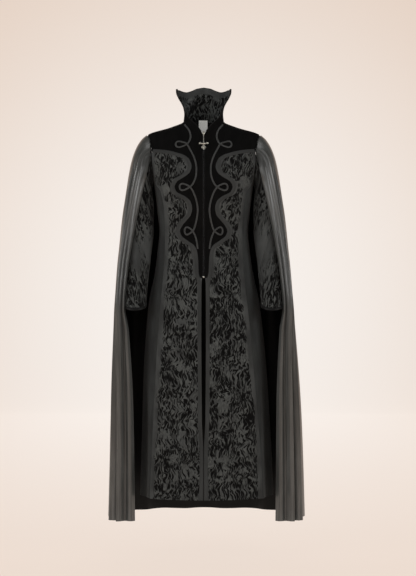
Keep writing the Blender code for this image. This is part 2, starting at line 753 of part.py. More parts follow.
def make_back_yoke():
    """Velvet back yoke in one piece: shoulder seams and neckline above, armholes beside, seam below."""
    right_angle = math.pi / 2
    shoulder = np.stack([np.full(5, right_angle), np.linspace(SHOULDER_END, 0, 5)], axis=1)
    neck_angle = np.linspace(right_angle, math.pi, 6)[1:]
    neck = np.stack([neck_angle, BACK_NECK * (neck_angle / right_angle - 1)], axis=1)
    top = np.vstack([shoulder, neck])
    hole_level = np.linspace(SHOULDER_END, BACK_YOKE_SEAM, 6)
    hole = np.stack([armhole(hole_level, back=True), hole_level], axis=1)
    along = np.linspace(0, 1, len(top))
    seam_angle = hole[-1, 0] + (math.pi - hole[-1, 0]) * along
    seam = np.stack([seam_angle, np.full(len(top), BACK_YOKE_SEAM)], axis=1)
    down = np.linspace(0, 1, len(hole))[:, None, None]
    bow = hole - (hole[0] * (1 - down[:, 0]) + hole[-1] * down[:, 0])
    cells = top * (1 - down) + seam * down + bow[:, None] * (1 - along)[None, :, None]
    points, normals = both_halves(cells)
    wall("back_yoke", points, normals, CLOTH, "velvet")


def make_back_lining():
    """Black lining inside the back, from the neck to the hem, clear of the armholes."""
    neck_levels = np.linspace(LINING_TOP, BACK_YOKE_SEAM, 4)
    level = np.concatenate([neck_levels, BACK_ARMHOLE_LEVELS[1:], BACK_LEVELS[:-1], (HEM + LINING_HEM_RISE,)])
    past = armhole(np.clip(level, *LINING_ARMHOLE_SPAN), back=True) + LINING_PAST_ARMHOLE
    edge = np.where(level > UNDERARM - SEAM, past, LINING_SIDE_ANGLE)
    edge[0] = LINING_NECK_ANGLE
    last = np.stack([np.full(len(level), math.pi), level], axis=1)
    cells = ruled(np.stack([edge, level], axis=1), last, columns=5)
    deeper = LINING_YOKE_DEPTH * step((level - LINING_DEEPER_FROM) / LINING_DEEPER_REACH)
    points, normals = both_halves(cells, LINING_DEPTH + deeper[:, None, None])
    wall("back_lining", points, normals, LINING, "lining")


def make_neck_label():
    """A bare woven label that hangs from the neck seam, almost straight down inside the collar."""
    level = np.linspace(LABEL_TOP, LABEL_TOP - LABEL_HEIGHT, 5)
    across = LABEL_MIDDLE + np.linspace(-LABEL_WIDTH / 2, LABEL_WIDTH / 2, 5)
    grid_level, grid_across = np.meshgrid(level, across, indexing="ij")
    back = LABEL_BACK - grid_across ** 2 / (2 * LABEL_CURVE) + LABEL_LEAN * (LABEL_TOP - grid_level)
    points = np.stack([grid_across, back, grid_level], axis=-1)
    normals = unit(np.stack([grid_across / LABEL_CURVE, 1 + 0 * back, 0 * back], axis=-1))
    wall("neck_label", points, normals, LABEL_THICKNESS, "label")


# Sleeves

def armhole_loop(phase, side):
    """The armhole's rim: phase 0 at the shoulder, a quarter turn at the front, a half turn under the arm."""
    middle = (SHOULDER_END + UNDERARM) / 2
    reach = (SHOULDER_END - UNDERARM) / 2 - SLEEVE_SEAM_STEP
    level = middle + reach * np.cos(phase)
    angle = np.where(np.sin(phase) >= 0, armhole(level), armhole(level, back=True))
    return body(angle, level, side), body_normal(angle, level, side)


def sleeve_ring(level, phase, side):
    """One level ring of the sleeve, tilted so that the cuff faces down and forward."""
    inner = read(SLEEVE, SLEEVE_COLUMNS, "inner", level)
    outer = read(SLEEVE, SLEEVE_COLUMNS, "outer", level)
    middle_y = read(SLEEVE, SLEEVE_COLUMNS, "middle_y", level)
    depth = read(SLEEVE, SLEEVE_COLUMNS, "half_depth", level)
    tilt = np.radians(read(SLEEVE, SLEEVE_COLUMNS, "tilt", level))
    across = (inner + outer) / 2 + (outer - inner) / 2 * np.cos(phase)
    along = middle_y - depth * np.sin(phase) * np.cos(tilt)
    height = level - depth * np.sin(phase) * np.sin(tilt)
    return np.stack([side * across, along, height], axis=-1)


def sleeve_grid(side):
    """Rows of the sleeve: the cap bends from the armhole's rim to the first level ring, then down."""
    phase = np.linspace(0, 2 * math.pi, SLEEVE_AROUND, endpoint=False)
    rim, outward = armhole_loop(phase, side)
    rim = rim + np.array([side * SLEEVE_SEAM_STEP, 0, 0])
    first = sleeve_ring(np.full(phase.shape, SLEEVE[0][0]), phase, side)
    lift = (1 + np.cos(phase)) / 2
    reach = side * (SLEEVE_CAP_REACH * lift + SLEEVE_CAP_EDGE)
    fall = SLEEVE_CAP_DROP * lift + SLEEVE_CAP_FALL * (1 - lift) * (rim[:, 2] - first[:, 2])
    middle = (rim[:, 1] + first[:, 1]) * SLEEVE_CAP_MIDDLE
    bend = np.stack([rim[:, 0] + reach, middle, rim[:, 2] - fall], axis=1)
    rows = [rim * (1 - t) ** 2 + bend * 2 * t * (1 - t) + first * t ** 2 for t in SLEEVE_CAP_STEPS]
    levels = np.linspace(SLEEVE[0][0], SLEEVE[-1][0], SLEEVE_ROWS)
    rows += [sleeve_ring(np.full(phase.shape, level), phase, side) for level in levels]
    return np.stack(rows)


def tube_normals(grid):
    """Outward directions of a grid that closes across its columns."""
    around = np.roll(grid, -1, axis=1) - np.roll(grid, 1, axis=1)
    down = np.gradient(grid, axis=0)
    normals = unit(np.cross(around, down))
    middle = grid.mean(axis=1, keepdims=True)
    facing = np.sign(np.sum(normals * (grid - middle)))
    return normals * facing


def make_sleeve(label, side):
    """Sleeve tube and the binding round its cuff."""
    grid = sleeve_grid(side)
    wall(f"sleeve_{label}", grid, tube_normals(grid), CLOTH, "patterned_cloth", wrap=True)
    fall = unit(grid[-1].mean(axis=0) - grid[-2].mean(axis=0))
    middle = grid[-1].mean(axis=0)
    top = middle + (grid[-1] - middle) * CUFF_SPREAD + fall * SEAM
    cuff = np.stack([top, top + fall * CUFF_HEIGHT])
    wall(f"cuff_{label}", cuff, tube_normals(cuff), CUFF_THICKNESS, "lining", wrap=True)


# Collar

def collar_ring(angle, level):
    """The collar's outer surface on the +X side: the angle is 0 at the centre back, pi at the front."""
    half_width = read(COLLAR, COLLAR_COLUMNS, "half_width", level)
    front = read(COLLAR, COLLAR_COLUMNS, "front", level)
    back = read(COLLAR, COLLAR_COLUMNS, "back", level)
    depth = np.where(np.cos(angle) > 0, back, front)
    return np.stack([half_width * np.sin(angle), depth * np.cos(angle), level], axis=-1)


def collar_base(share):
    """The neckline from the centre back, share 0, to the centre front, share 1."""
    back_angle = np.linspace(math.pi, math.pi / 2, 20)
    back_level = BACK_NECK * (back_angle - math.pi / 2) / (math.pi / 2)
    along = np.linspace(0, 1, 2 * NECK_POINTS) ** 1.5
    across = NECK_HALF_WIDTH + (FRONT_EDGE[0][1] - NECK_HALF_WIDTH) * along
    line = np.vstack([body(back_angle, back_level, 1),
                      body(angle_across(across, neckline(across)), neckline(across), 1)[1:]])
    even = resample(line, 60)
    return np.stack([np.interp(share, np.linspace(0, 1, 60), even[:, k]) for k in range(3)], axis=-1)


def collar_grid():
    """Rows from the neckline up to the top line, columns from the centre back to the front edge."""
    share = np.linspace(0, 1, 10)
    up = np.array([0.0, 0.12, 0.28, 0.46, 0.64, 0.82, 1.0])
    share, up = np.meshgrid(share, up)
    edge_angle = np.radians(read(COLLAR_EDGE, COLLAR_EDGE_COLUMNS, "angle", up, key="up"))
    edge_level = read(COLLAR_EDGE, COLLAR_EDGE_COLUMNS, "level", up, key="up")
    top = read(COLLAR_TOP, COLLAR_TOP_COLUMNS, "level", share, key="along")
    base = collar_base(share)
    plain = base[..., 2] * (1 - up) + top * up
    straight = base[..., 2][:, -1:] * (1 - up) + COLLAR_TOP[-1][1] * up
    level = plain + (edge_level - straight) * share ** 4
    grid = collar_ring(share * edge_angle, level)
    base_angle = share * math.radians(COLLAR_EDGE[0][1])
    seat = base - collar_ring(base_angle, base[..., 2])
    grid = grid + seat * (1 - up[..., None]) ** 2
    grid[..., 2] += 2 * SEAM
    return grid


def make_collar(label, side):
    """One half of the stand collar, and the piping on its front and top edges."""
    grid = collar_grid()
    around = np.gradient(grid, axis=1)
    rise = np.gradient(grid, axis=0)
    normals = -unit(np.cross(around, rise))
    normals[:, 0, 0] = 0
    normals = unit(normals)
    if np.sum(normals[..., 0]) < 0:
        normals = -normals
    mirror = np.array([side, 1.0, 1.0])
    wall(f"collar_{label}", grid * mirror, normals * mirror, CLOTH, "patterned_cloth")
    front_out = unit(grid[:, -1] - grid[:, -2])
    top_out = unit(grid[-1] - grid[-2])
    corner = unit(front_out[-1] + top_out[-1])
    path = np.vstack([grid[1:-1, -1], grid[-1:, -1], grid[-1, -2::-1]])
    out = np.vstack([front_out[1:-1], corner[None] * 1.3, top_out[-2::-1]])
    facing = np.vstack([normals[1:-1, -1], normals[-1:, -1], normals[-1, -2::-1]])
    middle = path + out * (SEAM + PIPING / 2) - facing * (CLOTH + PIPING) / 2
    middle[-1, 0] = SEAM / 2
    strip(f"collar_edge_{label}", middle * mirror, out * mirror, facing * mirror, PIPING, PIPING, "lining")


# Cape

def cape_section(along, level, side):
    """The cape's level section: a quarter oval from front edge to side, and a fuller one to the back."""
    values = {name: read(CAPE, CAPE_COLUMNS, name, level) for name in CAPE_COLUMNS[1:]}
    flare = 1 + side * CAPE_FLARE * step((CAPE_FLARE_SPAN[0] - level) / CAPE_FLARE_SPAN[1])
    front_turn = (np.clip(along, -1, 0) + 1) * math.pi / 2
    back_turn = np.clip(along, 0, 1) * math.pi / 2
    out = (np.sin(front_turn) + CAPE_FULLNESS * np.sin(3 * front_turn)) / (1 - CAPE_FULLNESS)
    forward = (np.cos(front_turn) - CAPE_FULLNESS * np.cos(3 * front_turn)) / (1 - CAPE_FULLNESS)
    front_x = values["edge_x"] + (values["side_x"] - values["edge_x"]) * out
    front_y = values["side_y"] + (values["edge_y"] - values["side_y"]) * forward
    full = 1 - SQUARENESS
    back_x = values["side_x"] * (np.cos(back_turn) - SQUARENESS * np.cos(3 * back_turn)) / full
    rise = (np.sin(back_turn) + SQUARENESS * np.sin(3 * back_turn)) / full
    back_y = values["side_y"] + (values["back_y"] - values["side_y"]) * rise
    across = np.where(along < 0, front_x, back_x) * flare
    return np.stack([side * across, np.where(along < 0, front_y, back_y), level], axis=-1)


def cape_seam(along, side):
    """Where the cape is sewn on: up the front armhole, over the shoulder, and along the back yoke."""
    dense_front = CAPE_FRONT_TOP + (SHOULDER_END - CAPE_FRONT_TOP) * np.sin(np.linspace(0, math.pi / 2, 60))
    dense_back = np.linspace(SHOULDER_END, BACK_YOKE_SEAM - 0.002, 60)
    front = np.stack([armhole(dense_front), dense_front], axis=1)
    back_hole = np.stack([armhole(dense_back, back=True), dense_back], axis=1)
    yoke_angle = np.linspace(back_hole[-1, 0], math.pi, 60)[1:]
    yoke = np.stack([yoke_angle, np.full(59, dense_back[-1])], axis=1)

    def lifted(line):
        return body(line[:, 0], line[:, 1], side) + body_normal(line[:, 0], line[:, 1], side) * CAPE_SEAM_LIFT

    front_line = lifted(front)
    front_line[:, 0] += side * CAPE_SEAM_OUT
    back_line = resample(lifted(np.vstack([back_hole, yoke])), 120)
    back_line[:, 0] += side * CAPE_SEAM_OUT * np.linspace(1, 0, 120)
    front_share = np.interp(along, (-1, 0), (0, 1)) * 59
    back_share = np.interp(along, (0, 1), (0, 1)) * 119
    points = [np.where(along < 0, np.interp(front_share, range(60), front_line[:, k]),
                       np.interp(back_share, range(120), back_line[:, k])) for k in range(3)]
    return np.stack(points, axis=-1)


def cape_folds(along, level):
    """The height of the cape's soft folds, each growing from the level where it starts."""
    out = np.zeros_like(along)
    for fold in named(CAPE_FOLDS, CAPE_FOLD_COLUMNS):
        across = np.exp(-((along - fold["along"]) / fold["width"]) ** 2)
        out += fold["height"] * across * step((fold["start"] - level) / CAPE_FOLD_REACH)
    return out


def make_cape(label, side):
    """One half of the cape, hung from its seam to the hem."""
    along, fall = np.meshgrid(np.array(CAPE_STATIONS), np.array(CAPE_FALLS))
    seam = cape_seam(along, side)
    level = seam[..., 2] * (1 - fall) + CAPE_HEM * fall
    hang = cape_section(along, level, side)
    seam_section = cape_section(along, seam[..., 2], side)
    hold = np.clip(1 - fall / CAPE_TOP_BLEND, 0, 1) ** 2
    grid = hang + (seam - seam_section) * hold[..., None]
    around = np.gradient(grid, axis=1)
    down = np.gradient(grid, axis=0)
    normals = unit(np.cross(around, down))
    centre_back = normals[:, -1]
    centre_back[:, 0] = 0
    normals = unit(normals)
    if np.sum(normals[..., 0] * side) < 0:
        normals = -normals
    flat = unit(normals * np.array([1.0, 1.0, 0.0]))
    grid = grid + flat * cape_folds(along, level)[..., None]
    grid[:, -1, 0] = 0
    wall(f"cape_{label}", grid, normals, CLOTH, "satin")


# Zip and pull

def front_frame(level):
    """A point on the centre front with its outward direction and the direction down the cloth."""
    point = body(np.array([0.0]), np.array([level]), 1)[0]
    normal = body_normal(np.array([0.0]), np.array([level]), 1)[0]
    down = np.array([0.0, normal[2], -normal[1]])
    down = down if down[2] < 0 else -down
    return point, normal, down


def make_zip():
    """Tapes behind the velvet, the closed chain on them and the bottom stop."""
    rows = 19
    level = np.concatenate([[TAPE_TOP], np.linspace(CHAIN_TOP, ZIP_FOOT - 0.006, rows - 1)])
    normals = body_normal(np.zeros(rows), level, 1)
    surface = body(np.zeros(rows), level, 1)
    side_way = np.tile([1.0, 0.0, 0.0], (rows, 1))
    for label, side in SIDES:
        middle = surface - normals * (CLOTH + TAPE_DEPTH) + side_way * side * (TAPE_WIDTH / 2 + 0.0002)
        angle = angle_across(np.full(rows, TAPE_WIDTH), level)
        sink = surface[:, 1] - body(angle, level, 1)[:, 1]
        middle[:, 1] -= sink * 0.5
        tape_way = unit(side_way * side * TAPE_WIDTH + np.stack([0 * sink, -sink, 0 * sink], axis=1))
        strip(f"zip_tape_{label}", middle, tape_way, normals, TAPE_WIDTH, TAPE_THICKNESS, "lining")
    seat = CLOTH + TAPE_DEPTH - TAPE_THICKNESS - SEAM
    chain = surface[1:-1] - normals[1:-1] * seat
    strip("zip_chain", chain, side_way[1:-1], normals[1:-1], 2 * CHAIN_HALF_WIDTH, CHAIN_THICKNESS, "zip")
    point, normal, down = front_frame(ZIP_FOOT + 0.001)
    width, height, thickness = STOP_SIZE
    start = point - normal * seat + down * 4 * SEAM
    path = np.stack([start, start + down * height])
    strip("zip_stop", path, side_way[:2], np.tile(normal, (2, 1)), width, thickness, "silver")


def local_solid(name, outline, low, high, axes, look, at):
    """An outline in the plane of two axes, raised between two heights along the third."""
    count = len(outline)
    first, second, third = axes
    flat = outline[:, :1] * first + outline[:, 1:] * second
    points = np.vstack([flat + third * low, flat + third * high]) + at
    faces = [list(range(count)), [2 * count - 1 - k for k in range(count)]]
    faces += [[k, (k + 1) % count, (k + 1) % count + count, k + count] for k in range(count)]
    return solid(name, points, faces, look, at)


def torus(name, middle, plane, radius, wire, counts, look, at):
    """A ring of round wire in the plane of two axes; counts are its sides round the ring and the wire."""
    first, second = plane
    around, sides = counts
    third = np.cross(first, second)
    turn, spin = np.meshgrid(np.linspace(0, 2 * math.pi, around, endpoint=False),
                             np.linspace(0, 2 * math.pi, sides, endpoint=False), indexing="ij")
    way = first * np.cos(turn)[..., None] + second * np.sin(turn)[..., None]
    points = middle + way * (radius + wire * np.cos(spin)[..., None]) + third * wire * np.sin(spin)[..., None]
    faces = grid_faces(around, sides, 0, True)
    last = (around - 1) * sides
    faces += [[last + k, last + (k + 1) % sides, (k + 1) % sides, k] for k in range(sides)]
    return solid(name, points.reshape(-1, 3), faces, look, at)


def join(target, tool):
    """Union of two solids into the first."""
    union = target.modifiers.new("union", "BOOLEAN")
    union.operation = "UNION"
    union.solver = "EXACT"
    union.object = tool
    tool.hide_render = True
    tool.display_type = "WIRE"


def make_pull():
    """Slider with its bridge, the ring under the bridge, and the cross that hangs on the ring."""
    point, normal, down = front_frame(SLIDER_LEVEL)
    right = np.array([1.0, 0.0, 0.0])
    width, thick, height = SLIDER_SIZE
    plan = np.array([[-0.5, -0.5], [0.5, -0.5], [0.5, 0.1], [0.28, 0.5], [-0.28, 0.5], [-0.5, 0.1]])
    body_at = point - normal * SLIDER_SINK
    slider = local_solid("zip_slider", plan * (width, height), -thick / 2, thick / 2,
                         (right, down, normal), "silver", body_at)
    arch_at = body_at + normal * (thick / 2)
    rise, foot = BRIDGE_SHOULDER
    profile = []
    for inset in (0.0, BRIDGE_WALL):
        half, top = BRIDGE_HALF_LENGTH - inset, BRIDGE_HEIGHT - inset
        arch = [[-half, -BRIDGE_FOOT], [-half, foot - 0.3 * inset], [-half + rise, top],
                [half - rise, top], [half, foot - 0.3 * inset], [half, -BRIDGE_FOOT]]
        profile.append(np.array(arch if inset == 0 else arch[::-1]))
    bridge = local_solid("bridge", np.vstack(profile), -BRIDGE_HALF_WIDTH, BRIDGE_HALF_WIDTH,
                         (down, normal, right), "silver", arch_at)
    join(slider, bridge)
    hinge = arch_at + normal * HINGE_OUT + down * HINGE_DOWN
    lower = front_frame(SLIDER_LEVEL - PENDANT_REST)
    aim = lower[0] + lower[1] * (PENDANT_TIP_CLEARANCE + CLOTH / 2)
    hang = unit(aim - hinge)
    facing = np.cross(right, hang)
    facing = facing if facing[1] < 0 else -facing
    middle = hinge + hang * RING_RADIUS
    torus("pull_ring", middle, (right, hang), RING_RADIUS, RING_WIRE, RING_SIDES, "silver", hinge)
    swing = hinge + hang * 2 * RING_RADIUS
    half_width, lengthwise = [column(PENDANT, PENDANT_COLUMNS, name) for name in ("half_width", "down")]
    right_side = np.stack([half_width, lengthwise], axis=1)
    outline = np.vstack([right_side, right_side[-2::-1] * (-1, 1)])
    pendant = local_solid("pull_pendant", outline, -PENDANT_THICKNESS / 2, PENDANT_THICKNESS / 2,
                          (right, hang, facing), "silver", swing)
    bail = torus("bail", swing + hang * BAIL_DROP, (hang, facing), BAIL_RADIUS, BAIL_WIRE, BAIL_SIDES,
                 "silver", swing)
    join(pendant, bail)


def main():
    for item in list(bpy.data.objects):
        bpy.data.objects.remove(item)
    for label, side in SIDES:
        make_fronts(label, side)
        make_edge_band(label, side)
        make_braid(label, side)
        make_backs(label, side)
        make_sleeve(label, side)
        make_collar(label, side)
        make_cape(label, side)
    make_back_yoke()
    make_back_lining()
    make_neck_label()
    make_zip()
    make_pull()


main()
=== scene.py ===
# %% [markdown]
# # A long caped coat, filled out as worn
#
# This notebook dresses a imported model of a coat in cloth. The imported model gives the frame: where every
# piece lies and what it hangs on. Each cloth piece is then made again as a fine, thin shell on the same
# form, and gets the finish of the real cloth. Lengths are in metres, the front faces -Y and +Z is up.

import math

import bpy
import numpy as np
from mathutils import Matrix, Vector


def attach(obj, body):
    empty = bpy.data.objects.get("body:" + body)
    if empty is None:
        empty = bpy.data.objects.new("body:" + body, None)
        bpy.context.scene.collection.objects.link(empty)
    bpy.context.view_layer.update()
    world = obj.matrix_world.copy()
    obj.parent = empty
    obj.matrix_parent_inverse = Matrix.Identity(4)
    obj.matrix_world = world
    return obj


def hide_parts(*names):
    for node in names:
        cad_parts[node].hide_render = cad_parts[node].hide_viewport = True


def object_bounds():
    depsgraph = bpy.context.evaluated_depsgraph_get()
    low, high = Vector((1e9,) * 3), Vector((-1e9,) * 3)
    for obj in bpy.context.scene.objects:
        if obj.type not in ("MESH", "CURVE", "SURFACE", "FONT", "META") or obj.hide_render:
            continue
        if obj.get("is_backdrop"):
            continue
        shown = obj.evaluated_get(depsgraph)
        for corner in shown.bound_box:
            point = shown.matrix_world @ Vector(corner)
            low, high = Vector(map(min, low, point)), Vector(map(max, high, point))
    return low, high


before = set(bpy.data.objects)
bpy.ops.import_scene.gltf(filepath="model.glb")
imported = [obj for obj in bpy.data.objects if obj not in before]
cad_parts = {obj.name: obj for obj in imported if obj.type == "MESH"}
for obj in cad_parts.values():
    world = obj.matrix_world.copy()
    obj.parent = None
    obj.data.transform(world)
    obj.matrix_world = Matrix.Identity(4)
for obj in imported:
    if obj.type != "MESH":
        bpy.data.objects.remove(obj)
cad_low, cad_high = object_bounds()

# %% [markdown]
# ## Reading smooth values from short tables
#
# A garment's form is given by a few level sections. Between them the sizes follow a smooth curve that never
# overshoots, made of cubic pieces whose slopes at the knots are the harmonic mean of the slopes beside them.

# %% Smooth curves and small helpers


def smooth(knots, values, at):
    """Cubic pieces through the values; slope at a knot = 2ab / (a + b) of its neighbours' slopes a and b."""
    order = np.argsort(knots)
    knots, values = np.asarray(knots, float)[order], np.asarray(values, float)[order]
    at = np.clip(at, knots[0], knots[-1])
    span = np.diff(knots)
    rise = np.diff(values) / span
    slope = np.zeros_like(values)
    same = rise[:-1] * rise[1:] > 0
    slope[1:-1][same] = (2 * rise[:-1] * rise[1:])[same] / (rise[:-1] + rise[1:])[same]
    slope[0], slope[-1] = rise[0], rise[-1]
    i = np.clip(np.searchsorted(knots, at, side="right") - 1, 0, len(span) - 1)
    t = (at - knots[i]) / span[i]
    start = (1 + 2 * t) * (1 - t) ** 2 * values[i] + t * (1 - t) ** 2 * span[i] * slope[i]
    end = t * t * (3 - 2 * t) * values[i + 1] + t * t * (t - 1) * span[i] * slope[i + 1]
    return start + end


def read(table, name, at, key="level"):
    """The smooth value of one named column where the key column is at the given values."""
    names = table[0]
    rows = np.array(table[1:], float)
    return smooth(rows[:, names.index(key)], rows[:, names.index(name)], at)


def step(value):
    """0 below 0, 1 above 1, and 3v^2 - 2v^3 between."""
    value = np.clip(value, 0.0, 1.0)
    return value * value * (3 - 2 * value)


def unit(vectors):
    """Each vector divided by its length."""
    return vectors / np.maximum(np.linalg.norm(vectors, axis=-1, keepdims=True), 1e-12)


def lengths(points, axis):
    """Distance run along one axis of a grid of points: the running sum of the steps between them."""
    steps = np.linalg.norm(np.diff(points, axis=axis), axis=-1)
    pad = [(0, 0)] * steps.ndim
    pad[axis] = (1, 0)
    return np.pad(np.cumsum(steps, axis=axis), pad)


def resample(points, count):
    """The polyline's points at equal steps of its length."""
    length = lengths(points, 0)
    at = np.linspace(0, length[-1], count)
    return np.stack([np.interp(at, length, points[:, k]) for k in range(points.shape[1])], axis=1)


def spline(points, per_span):
    """Catmull-Rom cubics: each span is a cubic whose end slopes are half the chord of its neighbours."""
    padded = np.vstack([2 * points[0] - points[1], points, 2 * points[-1] - points[-2]])
    t = np.linspace(0, 1, per_span, endpoint=False)[None, :, None]
    before, start, end, after = [padded[k:len(points) - 1 + k][:, None] for k in range(4)]
    spans = 0.5 * (2 * start + (end - before) * t + (2 * before - 5 * start + 4 * end - after) * t ** 2
                   + (3 * start - before - 3 * end + after) * t ** 3)
    return np.vstack([spans.reshape(-1, points.shape[1]), points[-1:]])


# %% [markdown]
# ## The coat's form
#
# The body is a stack of ovals, wide at the shoulders, in at the waist and out again to the hem. The angle
# runs from the centre front to the centre back, so a front, a side or a back piece is only a region of
# angles and levels. Every piece of the coat, and the braid and band that lie on it, is read from this one
# surface, so they always meet.

# %% Sizes of the coat
SHOULDER_END, BACK_YOKE_SEAM, UNDERARM, PRINCESS_START = -0.045, -0.125, -0.215, -0.190
FRONT_NECK, BACK_NECK, ZIP_FOOT, HEM, BACK_HEM_DROP = -0.043, 0.003, -0.5206, -1.256, 0.026
NECK_HALF_WIDTH, ARMHOLE_HALF_DEPTH, SQUARENESS, RIGHT_FLARE = 0.068, 0.050, 0.03, 0.045
SIDES = (("left", -1), ("right", 1))

BODY = (
    ("level", "half_width", "front", "back"),
    (0.004, 0.0660, 0.048, 0.052), (0.000, 0.0680, 0.050, 0.055), (-0.020, 0.1150, 0.056, 0.070),
    (-0.045, 0.1880, 0.068, 0.086), (-0.083, 0.1890, 0.091, 0.100), (-0.130, 0.1870, 0.112, 0.110),
    (-0.215, 0.1670, 0.130, 0.109), (-0.303, 0.1560, 0.118, 0.098), (-0.371, 0.1500, 0.107, 0.090),
    (-0.440, 0.1560, 0.108, 0.104), (-0.510, 0.1660, 0.116, 0.124), (-0.620, 0.1880, 0.129, 0.145),
    (-0.800, 0.2020, 0.144, 0.160), (-1.000, 0.2080, 0.156, 0.175), (-1.290, 0.2160, 0.170, 0.198),
)
SKIRT_FOLDS_START = -0.50
SKIRT_FOLDS = (
    (24.0, 11.0, -0.004), (52.0, 9.0, 0.006), (70.0, 9.0, -0.006), (92.0, 10.0, 0.009),
    (112.0, 9.0, -0.009), (131.0, 10.0, 0.012), (150.0, 8.0, -0.010), (168.0, 9.0, 0.012),
)

# Soft creases pressed into the worn cloth: where they lie round the body in degrees and at which level,
# how wide in degrees and how long in metres, how far they lean in degrees, and their height
BODY_CREASES = (
    ("angle", "level", "width", "reach", "lean", "height"),
    (70.0, -0.250, 5.0, 0.050, 16.0, -0.0018), (62.0, -0.290, 6.0, 0.070, 12.0, 0.0015),
    (76.0, -0.345, 5.0, 0.045, -14.0, -0.0017), (58.0, -0.400, 7.0, 0.060, -10.0, 0.0014),
    (40.0, -0.430, 6.0, 0.080, 5.0, -0.0012), (66.0, -0.560, 5.0, 0.130, 4.0, 0.0022),
    (82.0, -0.620, 5.5, 0.160, -4.0, -0.0024), (45.0, -0.700, 6.0, 0.200, 3.0, 0.0014),
    (34.0, -0.900, 5.0, 0.240, -3.0, -0.0018), (60.0, -1.020, 5.0, 0.200, 3.0, 0.0020),
    (18.0, -1.080, 4.5, 0.160, 2.0, 0.0012), (120.0, -0.300, 7.0, 0.060, 18.0, -0.0018),
    (135.0, -0.380, 8.0, 0.070, -16.0, -0.0020), (155.0, -0.340, 7.0, 0.060, 12.0, 0.0015),
    (104.0, -0.480, 6.0, 0.110, 6.0, 0.0022), (140.0, -0.640, 6.0, 0.170, -4.0, 0.0025),
    (160.0, -0.820, 6.0, 0.220, 3.0, -0.0026), (124.0, -0.950, 6.0, 0.240, 3.0, 0.0026),
    (30.0, -0.150, 9.0, 0.040, 10.0, -0.0010), (52.0, -0.180, 7.0, 0.045, -16.0, 0.0012),
)


def crease_height(turn, level, table):
    """Sum of height * exp(-across^2) * exp(-along^4).

    Along is the distance down over the reach, and across is the turn off the crease over its width.
    """
    out = np.zeros(np.broadcast(turn, level).shape)
    for place, middle, width, reach, lean, height in table[1:]:
        along = (level - middle) / reach
        across = (turn - place - lean * along) / width
        out = out + height * np.exp(-across ** 2) * np.exp(-along ** 4)
    return out


def body_form(angle, level, side):
    """x = half_width (sin a + c sin 3a) / (1 - c) and y = -depth (cos a - c cos 3a) / (1 - c).

    Both are scaled by the folds.
    """
    angle, level = np.broadcast_arrays(np.asarray(angle, float), np.asarray(level, float))
    half_width = read(BODY, "half_width", level) * (1 + side * RIGHT_FLARE * step((-0.45 - level) / 0.75))
    depth = np.where(np.cos(angle) > 0, read(BODY, "front", level), read(BODY, "back", level))
    grown = step((SKIRT_FOLDS_START - level) / (SKIRT_FOLDS_START - HEM))
    folds = sum(h * np.exp(-((np.degrees(angle) - a) / w) ** 2) for a, w, h in SKIRT_FOLDS)
    scale = (1 + folds * grown / 0.2) / (1 - SQUARENESS)
    across = half_width * (np.sin(angle) + SQUARENESS * np.sin(3 * angle)) * scale
    along = -depth * (np.cos(angle) - SQUARENESS * np.cos(3 * angle)) * scale
    return np.stack([side * across, along, level], axis=-1)


def body_normal(angle, level, side):
    """Unit cross product of the surface's slope round the body and its slope up it."""
    turn, drop = 1e-3, 1e-4
    angle, level = np.broadcast_arrays(np.asarray(angle, float), np.asarray(level, float))
    inner = np.clip(angle, turn, math.pi - turn)
    around = body_form(inner + turn, level, 1) - body_form(inner - turn, level, 1)
    up = body_form(inner, level + drop, 1) - body_form(inner, level - drop, 1)
    normal = unit(np.cross(around, up))
    normal[..., 0] = np.where((angle < turn) | (angle > math.pi - turn), 0.0, normal[..., 0])
    return unit(normal * np.array([side, 1.0, 1.0]))


SIDE_SHIFT = {-1: -2.0, 1: 3.5}


def body(angle, level, side, lift=0.0):
    """The form with its creases, moved out along the normal by a lift. Each side's creases shift a little."""
    normal = body_normal(angle, level, side)
    turn = np.degrees(angle) + SIDE_SHIFT[side] * np.sin(angle)
    height = crease_height(turn, level, BODY_CREASES) + lift
    return body_form(angle, level, side) + normal * np.asarray(height)[..., None]


def body_uv(angle, level, side, chords=16):
    """Across: the length round the body from the centre front, as a sum of chords. Down: the level."""
    share = np.linspace(0, 1, chords + 1).reshape(-1, *([1] * np.ndim(angle)))
    arc = body_form(angle * share, np.broadcast_to(level, angle.shape) + 0 * share, 1)
    return np.stack([side * np.linalg.norm(np.diff(arc, axis=0), axis=-1).sum(axis=0), level], axis=-1)


ANGLE_TABLE = np.linspace(0, math.pi / 2, 400)
ACROSS_TABLE = (np.sin(ANGLE_TABLE) + SQUARENESS * np.sin(3 * ANGLE_TABLE)) / (1 - SQUARENESS)
ALONG_TABLE = (np.cos(ANGLE_TABLE) - SQUARENESS * np.cos(3 * ANGLE_TABLE)) / (1 - SQUARENESS)


def angle_across(across, level):
    """The angle on the front where the body is this far from the middle, read back from x(angle)."""
    return np.interp(np.asarray(across, float) / read(BODY, "half_width", level), ACROSS_TABLE, ANGLE_TABLE)


def armhole(level, back=False):
    """The armhole's edge is an oval in side view: y = half depth * sqrt(1 - ((level - middle) / reach)^2)."""
    middle, reach = (SHOULDER_END + UNDERARM) / 2, (SHOULDER_END - UNDERARM) / 2
    depth = ARMHOLE_HALF_DEPTH * np.sqrt(np.clip(1 - ((level - middle) / reach) ** 2, 0, 1))
    share = np.clip(depth / read(BODY, "back" if back else "front", level), 0, 1)
    from_middle = np.interp(-share, -ALONG_TABLE, ANGLE_TABLE)
    return math.pi - from_middle if back else from_middle


# %% [markdown]
# ## Materials
#
# Colours are measured as sRGB hex values, the way a paint program shows them, and one function turns them
# to the linear values that the renderer works in. Cloth patterns follow the cloth, so they read each
# shell's UV map, which holds real metres across and down the piece. Thread is far finer than a pixel
# here, so each weave is drawn a few times coarser than life, just enough for its grain to show.

# %% Colour and node helpers


